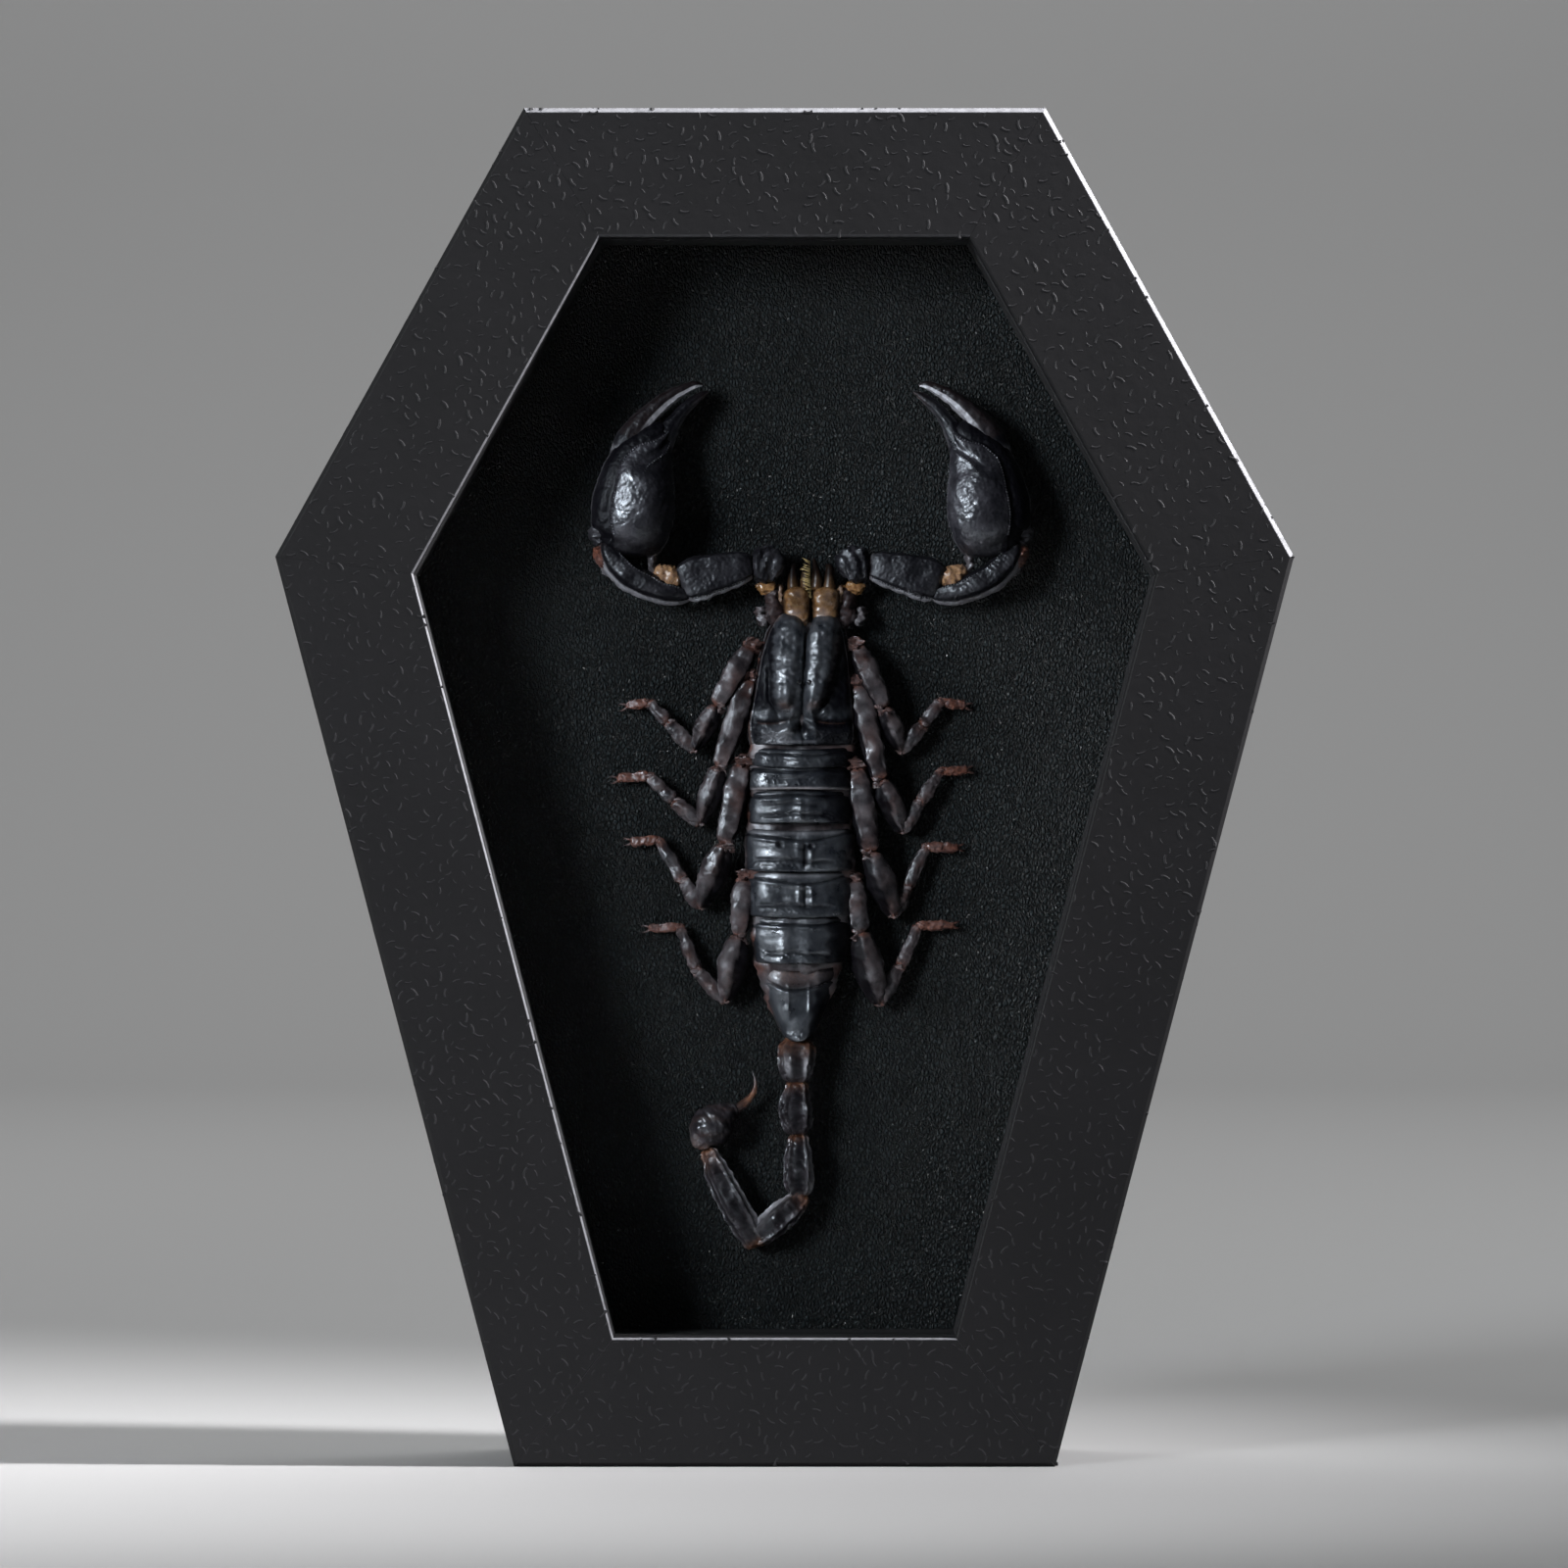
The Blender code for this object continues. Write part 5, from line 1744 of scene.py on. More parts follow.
    @staticmethod
    def root_tones(share: Array, turn: Array, shares: Sequence[float]) -> Tones:
        """A root plate's tones, from its shares of amber, pale and black; the pale share is a painted
        highlight, put only on the side facing the glass.
        """
        amber, pale, ink = shares
        return {
            "amber": amber * (0.4 + 0.6 * hump(share, 0.6, 0.4)),
            "pale": pale * np.maximum(np.sin(turn), 0.0), "ink": np.full(len(share), ink),
        }

    def bristles(self) -> None:
        """Grows the comb of yellow bristles between the jaws."""
        tree = bristle_tree(BRISTLE)
        height = LEATHER_Y - 4.6
        places = np.column_stack(
            (np.linspace(3.95, 3.75, 30), np.full(30, height), np.linspace(128.3, 133.6, 30))
        )
        comb = line_object("jaw_bristles", places)
        tree.grow(comb, Length=0.0015, Thickness=0.00014, Spacing=0.00026)
        present(comb, BRISTLE, "scorpion_body")


@dataclass
class Leg:
    """A walking leg, from the hip to the claws of its foot."""

    label: str
    hand: Hand
    hip: tuple[float, float]
    knuckle: tuple[float, float]
    knee: tuple[float, float]
    shin: tuple[float, float]
    ankle: tuple[float, float]
    toe: tuple[float, float]
    thigh_width: float = 1.6
    knee_width: float = 1.55
    seed: int = 1
    heights: tuple[float, ...] = (3.3, 4.1, 2.3, 2.0, 1.7, 1.15)

    @staticmethod
    def stations(
        first: Sequence[float], second: Sequence[float], widths: Sequence[float], overlap: float,
    ) -> list:
        """The stations of a segment from joint to joint, with its widths spread evenly along it."""
        shares = np.linspace(-overlap, 1.0 + overlap, len(widths))
        rows = []
        for share, wide in zip(shares, widths):
            x, z = (first[k] + (second[k] - first[k]) * float(share) for k in (0, 1))
            height = first[2] + (second[2] - first[2]) * min(max(share, 0.0), 1.0)
            rows.append((x, z, height, wide, wide * 0.92))
        return rows

    @property
    def inner(self) -> float:
        """The turn at which the upper leg faces the trunk."""
        return math.pi if self.hand is Hand.LEFT else 0.0

    def build(self) -> None:
        """Builds the leg as one piece."""
        w, k = self.thigh_width, self.knee_width
        spots = (self.hip, self.knuckle, self.knee, self.shin, self.ankle, self.toe)
        ends = [(*spot, height) for spot, height in zip(spots, self.heights)]
        segments = (
            ((w * 0.62, w * 1.0, w * 1.08, w * 1.02, w * 0.90, w * 0.70), 0.0, 2.9, 0.55, 0.05),
            ((w * 0.72, k * 1.06, k * 1.24, k * 1.16, k * 0.86, k * 0.40), 0.02, 2.5, -0.02, 0.05),
            ((0.62, 1.02, 1.12, 1.02, 0.88), 0.04, 2.5, 0.9, 0.07),
            ((0.80, 0.92, 0.90, 0.78, 0.66), 0.03, 2.3, 0.9, 0.10),
            ((0.50, 0.66, 0.72, 0.70, 0.60), 0.03, 2.6, 2.0, 3.0),
        )
        draft = MeshDraft()
        for number, (widths, overlap, squareness, ink, joint) in enumerate(segments):
            stations = self.stations(ends[number], ends[number + 1], widths, overlap)
            self.add_segment(draft, stations, squareness, number, ink, joint)
        self.joints(draft)
        self.claws(draft)
        present(draft.build(f"leg_{self.label}_{self.hand.value}", LEG_SHELL), LEG_SHELL, "scorpion_body")

    def add_segment(
        self, draft: MeshDraft, stations: list, squareness: float, number: int, ink: float, joint: float,
    ) -> None:
        """Adds one segment of the leg.

        Args:
            draft: the leg so far.
            stations: the segment's stations.
            squareness: how boxy its section is.
            number: its place in the leg, from 0 at the hip.
            ink: how far towards the trunk, as a share of the half width, its dark flank begins; the flank
                is partly its own dark colour and partly painted shade.
            joint: how much of each end is reddish, as a share of the length.
        """
        seed = self.seed * 10 + number
        shell = SweptShell(
            stations, sides=34, rows=40, squareness=squareness, round_start=0.8, round_end=0.8,
        )

        def relief(share: Array, turn: Array, places: Array) -> Array:
            """The segment's flat inner face, its keels and its dried wrinkles, in millimetres outward."""
            lean = np.cos(turn - self.inner)
            facet = -0.34 * unit((lean - ink) * 2.5) * np.maximum(np.sin(turn), 0.0)
            upper = np.sin(turn) > 0.0
            keel = 0.16 * hump(lean, ink, 0.12) * upper + 0.12 * hump(lean, -0.80, 0.10) * upper
            stretched = 0.10 * ripple(places, 2.6, seed) + 0.045 * ripple(places, 1.0, seed + 3)
            return facet + keel + stretched + 0.022 * ripple(places, 0.5, seed + 5)

        def tones(share: Array, turn: Array) -> Tones:
            """Its reddish ends, pale rims, painted glints on its upper side, and its dark inner flank,
            partly painted shade.
            """
            lean = (
                np.cos(turn - self.inner) + 0.12 * np.sin(share * 9.0 + seed)
                + 0.06 * np.sin(share * 31.0 + seed)
            )
            red = np.full(len(share), 0.85)
            if joint < 2.0:
                red = np.exp(-((share / joint) ** 2)) + np.exp(-(((1 - share) / joint) ** 2))
            rim = (
                hump(lean, -0.95, 0.06) * (0.6 + 0.4 * np.sin(share * 13.0 + seed))
                + 0.5 * hump(lean, 0.97, 0.05)
            )
            # Painted glints along the side that faces the glass.
            glint = hump(lean, -0.1, 0.3) * unit(np.sin(share * 5.0 + seed * 1.7)) * (np.sin(turn) > 0.0)
            # The dark inner flank: partly the leg's own tone, partly painted shade.
            dark = unit((lean - ink) * 6.0) * 0.92
            red += 0.25 * hump(lean, 0.2, 0.5) * unit(np.sin(share * 7.0 + seed))
            return {
                "amber": np.clip(red, 0.0, 0.9), "pale": 0.26 * rim + 0.10 * glint,
                "ink": dark * (joint < 2.0),
            }

        shell.add_to(draft, relief, tones)

    def joints(self, draft: MeshDraft) -> None:
        """Adds the lumps of the hip, the knuckle, the knee's tip and the ring below the shin, with a
        painted highlight on the side of each that faces the glass.
        """
        side = -1.0 if self.hand is Hand.LEFT else 1.0
        w = self.thigh_width
        spots = (self.hip, self.knuckle, self.knee, self.shin, self.ankle)
        hip, knuckle, knee, shin, ankle = (np.array(spot) for spot in spots)
        down = (knee - knuckle) / np.linalg.norm(knee - knuckle)
        lumps = (
            (hip + (-0.2 * side, 0.5), self.heights[0] + 0.2, w * 0.85, 0.55, 0.04),
            (hip + (-0.9 * side, -0.5), self.heights[0] - 0.3, w * 0.70, 0.35, 0.0),
            (hip + (0.55 * side, -0.2), self.heights[0] - 0.1, w * 0.50, 0.75, 0.10),
            (knuckle - down * 0.35 + (-0.45 * side, 0.0), self.heights[1] + 0.45, w * 0.42, 0.45, 0.16),
            (knuckle + down * 0.45 + (0.35 * side, 0.0), self.heights[1] + 0.4, w * 0.44, 0.6, 0.10),
            (knuckle + down * 0.75 + (-0.55 * side, 0.0), self.heights[1] + 0.05, w * 0.55, 0.25, 0.03),
            (knee + (0.18, -0.1), self.heights[2] + 0.15, 0.46, 0.9, 0.3),
            (knee + (-0.25, 0.1), self.heights[2] - 0.1, 0.55, 0.9, 0.15),
            (shin, self.heights[3] + 0.1, 0.84, 0.45, 0.28),
            (ankle, self.heights[4] + 0.05, 0.66, 0.7, 0.08),
        )
        for number, (spot, height, size, amber, pale) in enumerate(lumps):
            x, z = spot
            tall = size * 0.8
            end = (height, size * 0.8, size * 0.7)
            stations = ((x, z - tall, *end), (x, z, height, size, size * 0.85), (x, z + tall, *end))
            shell = SweptShell(stations, sides=18, rows=15, squareness=2.3, round_start=1.0, round_end=1.0)
            seed = self.seed * 20 + number
            shell.add_to(
                draft,
                lambda share, turn, places: size * (
                    0.20 * ripple(places, 1.1, seed) + 0.12 * ripple(places, 0.55, seed + 1)
                ),
                # The pale share is a painted highlight, only on the side facing the glass.
                lambda share, turn: {
                    "amber": np.full(len(share), amber), "pale": pale * np.maximum(np.sin(turn), 0.0),
                },
            )

    def claws(self, draft: MeshDraft) -> None:
        """Adds the two small hooked claws of the foot."""
        heading = Vector(self.toe) - Vector(self.ankle)
        heading.normalize()
        aside = Vector((-heading.y, heading.x))
        hook = (
            (-0.2, 0.15, 0.0, 0.22), (0.45, 0.4, 0.0, 0.17), (0.95, 0.5, 0.25, 0.1), (1.2, 0.35, 0.5, 0.04),
        )
        for sign in (-1.0, 1.0):
            rows = []
            for reach, spread, drop, wide in hook:
                spot = Vector(self.toe) + heading * reach + aside * (sign * spread)
                rows.append((spot.x, spot.y, max(self.heights[5] - drop, 0.3), wide, wide))
            SweptShell(rows, sides=10, rows=14).add_to(
                draft, None, lambda share, turn: {"amber": 0.6 - 0.5 * share},
            )


@dataclass
class WalkingLegs:
    """The eight walking legs, each where it lies."""

    legs: tuple[Leg, ...] = (
        Leg(
            "first", Hand.LEFT, (-5.0, 120.9), (-10.2, 112.1), (-13.4, 105.5), (-17.3, 109.7),
            (-20.3, 112.7), (-23.6, 112.1), 1.6, 1.35, 1,
        ),
        Leg(
            "second", Hand.LEFT, (-5.2, 116.2), (-9.7, 102.9), (-12.6, 94.6), (-16.4, 98.0), (-20.3, 101.8),
            (-24.9, 101.2), 1.6, 1.45, 2,
        ),
        Leg(
            "third", Hand.LEFT, (-6.3, 103.4), (-8.9, 91.4), (-12.5, 82.1), (-15.2, 86.2), (-18.8, 92.2),
            (-22.9, 91.9), 1.75, 1.75, 3,
        ),
        Leg(
            "fourth", Hand.LEFT, (-5.9, 86.4), (-6.8, 77.8), (-8.8, 68.1), (-13.1, 72.6), (-15.6, 79.2),
            (-20.2, 78.9), 1.6, 1.85, 4,
        ),
        Leg(
            "first", Hand.RIGHT, (10.7, 121.0), (14.8, 111.8), (17.3, 105.3), (20.6, 109.4), (23.3, 112.9),
            (27.0, 112.2), 1.6, 1.35, 5,
        ),
        Leg(
            "second", Hand.RIGHT, (10.9, 115.4), (14.3, 101.0), (17.5, 93.4), (20.2, 97.8), (23.2, 102.4),
            (27.3, 102.6), 1.6, 1.45, 6,
        ),
        Leg(
            "third", Hand.RIGHT, (10.6, 103.0), (12.8, 90.2), (16.2, 80.8), (18.3, 84.9), (21.1, 91.2),
            (25.9, 91.0), 1.75, 1.75, 7,
        ),
        Leg(
            "fourth", Hand.RIGHT, (10.3, 86.2), (11.2, 78.2), (14.0, 67.7), (17.2, 73.3), (20.0, 79.4),
            (25.2, 79.4), 1.6, 1.85, 8,
        ),
    )

    def build(self) -> None:
        """Builds the eight legs."""
        for leg in self.legs:
            leg.build()


@dataclass
class ClawArm:
    """A claw arm: its root joint, two arm segments, palm and two fingers."""

    hand: Hand
    bead_radius: float = 0.17

    @property
    def mirror(self) -> float | None:
        """Where the right arm is turned about, or None for the left."""
        return None if self.hand is Hand.LEFT else CLAW_MIDDLE_X

    @property
    def node(self) -> str:
        """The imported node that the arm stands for."""
        return f"scorpion_{self.hand.value}_claw_arm"

    def dress(self, label: str, finish: Finish, shapes: Sequence[tuple]) -> None:
        """Builds a piece of this arm from swept segments, on the arm's own side."""
        dress(f"{label}_{self.hand.value}", finish, self.node, shapes, self.mirror)

    @staticmethod
    def palm_shell() -> SweptShell:
        """The palm's shell."""
        stations = (
            (-24.0, 134.3, 3.9, 2.0, 1.9), (-23.7, 135.5, 4.1, 4.0, 3.0), (-23.1, 137.4, 4.3, 5.3, 3.7),
            (-22.75, 140.6, 4.6, 6.1, 4.1), (-22.3, 144.0, 4.6, 5.85, 4.1), (-21.6, 147.4, 4.4, 5.0, 3.7),
            (-20.4, 150.4, 4.1, 3.9, 3.0), (-18.9, 152.9, 3.9, 2.3, 2.3), (-17.9, 154.2, 3.7, 1.4, 1.5),
        )
        return SweptShell(stations, sides=160, rows=130, squareness=2.3, round_start=0.9, round_end=0.6)

    LONG_KEEL = (
        (0.12, 0.29, 0.45, 0.66, 0.765, 0.88, 0.97), (-0.34, -0.42, -0.41, -0.47, -0.26, 0.24, 0.58),
    )
    SHORT_KEEL = ((0.55, 0.66, 0.72, 0.82, 0.93), (0.05, 0.20, 0.35, 0.65, 0.86))
    BEAD_SHARES = (1.0, 0.85, 0.9, 0.9, 0.75)

    @staticmethod
    def keel_turn(share: Array, keel: tuple[tuple[float, ...], tuple[float, ...]]) -> Array:
        """The angle round the palm at which a keel runs at each share of its length."""
        return np.arccos(np.interp(share, *keel))

    def palm_relief(self, share: Array, turn: Array, places: Array) -> Array:
        """The palm's smooth outer band, the bulge inside it, its keels and its scalloped inner edge."""
        across = np.cos(turn)
        front = unit(np.sin(turn) * 3.0)
        keel = np.interp(share, *self.LONG_KEEL)
        second = np.interp(share, *self.SHORT_KEEL)
        upper = soft_step(share, 0.60, 0.03)
        rise = soft_step(share, 0.15, 0.03)
        step = soft_step(across, keel, 0.035)
        bulge = 1.25 * step * np.exp(-(np.abs(across - 0.30) / 0.62) ** 2.4)
        bulge -= 0.30 * (1 - step) * hump(across, keel - 0.10, 0.16)
        bulge = bulge * rise * (1 - 0.55 * upper) + 0.12 * hump(across, keel, 0.05)
        bulge += upper * (0.16 * hump(across, second, 0.06) - 0.26 * hump(across, second - 0.17, 0.11))
        rim = (
            0.20 * hump(across, -0.97, 0.04)
            + 0.16 * np.abs(np.sin(share * 44.0)) * hump(across, 0.96, 0.06)
        )
        noisy = 0.05 * ripple(places, 4.4, 31) + 0.022 * ripple(places, 1.1, 32)
        return front * bulge + rim + noisy - 0.30 * hump(share, 0.09, 0.03) * front

    def palm_tones(self, share: Array, turn: Array) -> Tones:
        """The outer band, the trough between the keels, the side away from the light and the root are near
        black, and the palm's rims are dry and pale; the side away from the light and the trough carry
        painted shade, and the outer band's dark is partly painted shade.
        """
        across = np.cos(turn)
        keel = np.interp(share, *self.LONG_KEEL)
        second = np.interp(share, *self.SHORT_KEEL)
        band = soft_step(across - keel + 0.05, 0.0, -0.02)
        trough = hump(across, (keel + second) / 2, 0.10) * (share > 0.62)
        # Painted shade on the side away from the light, which differs between the hands.
        away = across - 0.02 if self.hand is Hand.LEFT else -0.10 - across
        shade = unit(away / 0.45) * 0.72
        root = soft_step(share, 0.13, -0.02)
        ink = np.clip(0.92 * band + 0.6 * trough + shade + 0.8 * root, 0.0, 0.95)
        rim = hump(across, -0.985, 0.02) + 0.6 * hump(across, 0.975, 0.03) * (share > 0.1) * (share < 0.8)
        return {"pale": 0.35 * rim, "ink": ink * (1 - 0.8 * unit(rim))}

    def build(self) -> None:
        """Builds the arm's pieces in order from the body to the finger tips."""
        self.root_joint()
        self.dress("upper_arm", CLAW_SHELL, [(self.arm_shell(), self.arm_relief, self.arm_tones)])
        self.dress("forearm", CLAW_SHELL, [(self.forearm_shell(), self.forearm_relief, self.forearm_tones)])
        self.skins()
        palm = self.palm_shell()
        knob = (
            (-27.5, 136.3, 3.8, 0.9, 1.3), (-27.9, 137.8, 4.1, 1.25, 1.6), (-27.4, 139.4, 4.0, 0.9, 1.3),
        )
        shapes = [
            (palm, self.palm_relief, self.palm_tones),
            (SweptShell(knob, sides=30, rows=30), self.knob_relief, self.knob_tones),
        ]
        self.dress("palm", CLAW_SHELL, shapes)
        self.fingers()
        self.beads(palm)

    @staticmethod
    def knob_relief(share: Array, turn: Array, places: Array) -> Array:
        """The uneven skin of the knob beside the palm's root."""
        return 0.14 * ripple(places, 1.1, 37)

    @staticmethod
    def knob_tones(share: Array, turn: Array) -> Tones:
        """The knob is dull, with a faint dry band."""
        return {"pale": 0.10 * hump(share, 0.6, 0.2), "ink": np.full(len(share), 0.35)}

    def root_joint(self) -> None:
        """Builds the knobbly joint between the body and the upper arm."""
        lumps = (
            (
                (-0.3, 132.4, 3.0, 1.2, 1.3), (-1.4, 133.0, 3.4, 2.3, 2.1), (-2.8, 133.2, 3.6, 2.7, 2.3),
                (-4.3, 133.0, 3.6, 2.2, 2.0), (-5.0, 132.9, 3.5, 1.5, 1.5),
            ),
            ((-2.2, 133.6, 3.6, 1.1, 1.3), (-2.4, 135.0, 3.7, 1.15, 1.2), (-2.3, 136.1, 3.6, 0.7, 0.8)),
            ((-3.0, 131.8, 3.2, 1.3, 1.5), (-4.2, 130.9, 3.1, 0.9, 1.1), (-4.5, 130.2, 3.0, 0.5, 0.7)),
        )
        shapes = []
        for stations in lumps:
            shapes.append(
                (
                    SweptShell(stations, sides=34, rows=40, squareness=2.5), self.lump_relief,
                    self.lump_tones,
                )
            )
        self.dress("arm_root", CLAW_SHELL, shapes)

    @staticmethod
    def lump_relief(share: Array, turn: Array, places: Array) -> Array:
        """The knobs and grit of the arm's root joint."""
        return 0.16 * ripple(places, 1.3, 51) + 0.08 * np.maximum(ripple(places, 0.55, 52), 0.0)

    @staticmethod
    def lump_tones(share: Array, turn: Array) -> Tones:
        """The root joint is nearly black, with a faint dry line along its sides."""
        return {"pale": 0.12 * hump(np.sin(turn), 0.1, 0.2), "ink": 0.6 + 0.3 * np.sin(share * 9.0 + turn)}

    @staticmethod
    def arm_shell() -> SweptShell:
        """The upper arm's shell, from the body outward."""
        stations = (
            (-4.6, 133.0, 3.5, 1.4, 1.4), (-5.8, 132.9, 3.8, 2.1, 2.1), (-8.4, 132.3, 4.0, 2.75, 2.5),
            (-11.2, 131.6, 4.0, 3.1, 2.6), (-13.6, 130.9, 4.0, 3.2, 2.5), (-14.9, 130.3, 3.8, 2.6, 2.1),
            (-15.6, 130.0, 3.6, 1.5, 1.4),
        )
        return SweptShell(stations, sides=80, rows=90, squareness=3.1)

    @staticmethod
    def arm_relief(share: Array, turn: Array, places: Array) -> Array:
        """The upper arm's flat top, its lower furrow and its rim."""
        furrow = ridge(turn, 146.0, 0.10)
        rim = ridge(turn, 168.0, 0.14) * (1 + 0.3 * np.sin(share * 31.0))
        ledge = ridge(turn, 40.0, 0.12)
        flat = -0.30 * ridge(turn, 90.0, 0.55)
        height = 0.24 * rim - 0.26 * furrow + 0.14 * ledge + flat
        return height + 0.07 * ripple(places, 3.4, 61) + 0.022 * ripple(places, 0.8, 62)

    @staticmethod
    def arm_tones(share: Array, turn: Array) -> Tones:
        """The upper arm's rim is pale and its inner end amber."""
        across = np.cos(turn)
        pale = 0.30 * hump(across, -0.93, 0.10) + 0.10 * hump(share, 0.93, 0.05) * (across > -0.4)
        dull = 0.62 - 0.45 * hump(share, 0.86, 0.16) * hump(across, -0.3, 0.35)
        ink = np.maximum(dull + 0.2 * across, 0.95 * hump(across, -0.64, 0.13)) * (across > -0.85)
        return {"pale": pale, "amber": 0.35 * hump(share, 0.02, 0.04), "ink": np.clip(ink, 0.0, 0.9)}

    @staticmethod
    def forearm_shell() -> SweptShell:
        """The curved forearm's shell, from the elbow to the wrist."""
        stations = (
            (-13.9, 128.7, 3.5, 0.7, 1.2), (-15.3, 128.6, 3.8, 1.1, 1.9), (-17.6, 129.0, 4.0, 1.6, 2.5),
            (-20.4, 130.0, 4.1, 1.9, 2.8), (-23.2, 131.5, 4.1, 2.0, 2.9), (-25.2, 133.5, 4.0, 1.85, 2.7),
            (-26.2, 135.5, 3.9, 1.45, 2.3), (-26.6, 136.9, 3.8, 0.9, 1.6),
        )
        return SweptShell(stations, sides=70, rows=100, squareness=2.6)

    @staticmethod
    def forearm_relief(share: Array, turn: Array, places: Array) -> Array:
        """The forearm's beaded keel, its furrow and its flattened outer rim."""
        furrow = ridge(turn, 152.0, 0.12)
        rim = ridge(turn, 176.0, 0.16)
        keel = ridge(turn, 52.0, 0.10)
        height = 0.26 * rim - 0.24 * furrow + 0.20 * keel
        return height + 0.07 * ripple(places, 2.6, 66) + 0.025 * ripple(places, 0.7, 67)

    @staticmethod
    def forearm_tones(share: Array, turn: Array) -> Tones:
        """The forearm's outer rim is dry and pale."""
        across = np.cos(turn)
        pale = 0.50 * hump(across, -0.92, 0.16)
        pale += 0.10 * hump(across, -0.05, 0.15) * (0.5 + 0.5 * np.sin(share * 19.0))
        patch = unit(0.5 + 0.8 * np.sin(share * 15.0 + across * 2.0))
        ink = 0.9 * unit((across - 0.62) * 6.0) + 0.9 * hump(across, -0.50, 0.14) + 0.45 + 0.35 * patch
        ink = np.clip(ink, 0.0, 0.92) * (across > -0.75)
        return {"pale": pale, "amber": 0.35 * hump(share, 0.98, 0.03), "ink": ink}

    def skins(self) -> None:
        """Builds the amber skin in the elbow and the dark red skin at the wrist."""
        pieces = (
            (
                (
                    (-15.6, 131.0, 3.4, 0.9, 1.6), (-16.8, 131.2, 3.9, 1.6, 2.1),
                    (-18.1, 131.9, 3.9, 1.35, 1.9), (-19.2, 132.6, 3.5, 0.7, 1.2),
                ),
                1.0, 0.10,
            ),
            (
                (
                    (-14.6, 131.9, 3.2, 0.5, 1.2), (-15.0, 131.0, 3.5, 0.7, 1.5),
                    (-15.5, 129.8, 3.4, 0.6, 1.3),
                ),
                0.2, 0.0,
            ),
            (
                (
                    (-26.7, 132.8, 3.4, 0.6, 1.2), (-27.3, 134.2, 3.9, 0.95, 1.6),
                    (-27.9, 136.0, 3.9, 0.8, 1.4),
                ),
                0.95, 0.0,
            ),
            (
                (
                    (-26.0, 131.9, 3.1, 0.6, 1.0), (-26.6, 132.5, 3.4, 0.7, 1.2),
                    (-27.2, 133.0, 3.2, 0.5, 0.9),
                ),
                0.0, 0.30,
            ),
            (
                (
                    (-18.9, 131.6, 3.2, 0.35, 1.2), (-19.8, 133.1, 3.7, 0.5, 1.5),
                    (-19.3, 135.1, 3.8, 0.5, 1.5), (-18.4, 136.9, 3.6, 0.35, 1.2),
                ),
                0.0, 0.12,
            ),
        )
        for finish, chosen in ((JAW_SHELL, pieces[:2]), (LEG_SHELL, pieces[2:])):
            shapes = []
            for stations, amber, pale in chosen:
                shell = SweptShell(stations, sides=30, rows=36, squareness=2.2)
                shapes.append((shell, self.skin_relief, partial(self.skin_tones, amber=amber, pale=pale)))
            self.dress(f"joint_skins_{finish.name.split()[0]}", finish, shapes)

    @staticmethod
    def skin_relief(share: Array, turn: Array, places: Array) -> Array:
        """The folds of dried skin."""
        return 0.13 * ripple(places * (1.4, 1.0, 0.7), 1.0, 81) + 0.05 * ripple(places, 0.5, 82)

    @staticmethod
    def skin_tones(share: Array, turn: Array, amber: float, pale: float) -> Tones:
        """One amber and one pale share over the whole skin."""
        return {"amber": np.full(len(share), amber), "pale": np.full(len(share), pale)}

    def fingers(self) -> None:
        """Builds the fixed finger, which grows from the palm, and the movable one outside it."""
        fixed = (
            (-19.0, 148.6, 3.8, 1.3, 1.8), (-18.1, 151.4, 3.9, 1.65, 2.1), (-17.2, 153.3, 3.8, 1.4, 1.9),
            (-16.0, 155.1, 3.7, 1.0, 1.6), (-14.5, 156.8, 3.6, 0.85, 1.3), (-12.9, 158.1, 3.5, 0.62, 1.0),
            (-11.4, 159.0, 3.4, 0.18, 0.3),
        )
        movable = (
            (-25.2, 147.6, 3.6, 0.9, 1.3), (-24.4, 149.6, 3.8, 1.75, 2.0), (-23.2, 151.6, 3.9, 2.1, 2.2),
            (-21.6, 153.9, 3.9, 1.85, 2.1), (-19.6, 156.1, 3.8, 1.45, 1.8), (-17.2, 158.1, 3.7, 1.12, 1.5),
            (-14.9, 159.4, 3.6, 0.82, 1.1), (-12.9, 160.1, 3.5, 0.42, 0.6), (-12.2, 160.0, 3.4, 0.15, 0.2),
        )
        for label, stations, turn_at in (("fixed", fixed, 150.0), ("movable", movable, 48.0)):
            shell = SweptShell(stations, sides=44, rows=90, squareness=2.4, round_end=0.8)
            relief = partial(self.finger_relief, keel=turn_at)
            self.dress(
                f"{label}_finger", CLAW_SHELL, [(shell, relief, partial(self.finger_tones, label=label))],
            )

    @staticmethod
    def finger_relief(share: Array, turn: Array, places: Array, keel: float) -> Array:
        """A finger's keel and the low teeth of its biting edge."""
        teeth = np.maximum(np.sin(share * 70.0), 0.0) * ridge(turn, 0.0, 0.3) * (share > 0.35)
        return 0.16 * ridge(turn, keel, 0.16) + 0.09 * teeth + 0.04 * ripple(places, 1.8, 35)

    @staticmethod
    def finger_tones(share: Array, turn: Array, label: str) -> Tones:
        """The tips are dark red, and the movable finger has a painted highlight on the facet beside its
        biting edge.
        """
        across = np.cos(turn)
        front = np.sin(turn) > -0.2
        if label == "fixed":
            ink = 0.9 * unit((0.30 - across) * 5.0) + 0.40
            pale = 0.22 * hump(across, 0.90, 0.10) * (share > 0.2)
            return {
                "amber": np.clip((share - 0.72) * 0.9, 0.0, 0.25), "pale": pale,
                "ink": np.clip(ink, 0.0, 0.9),
            }
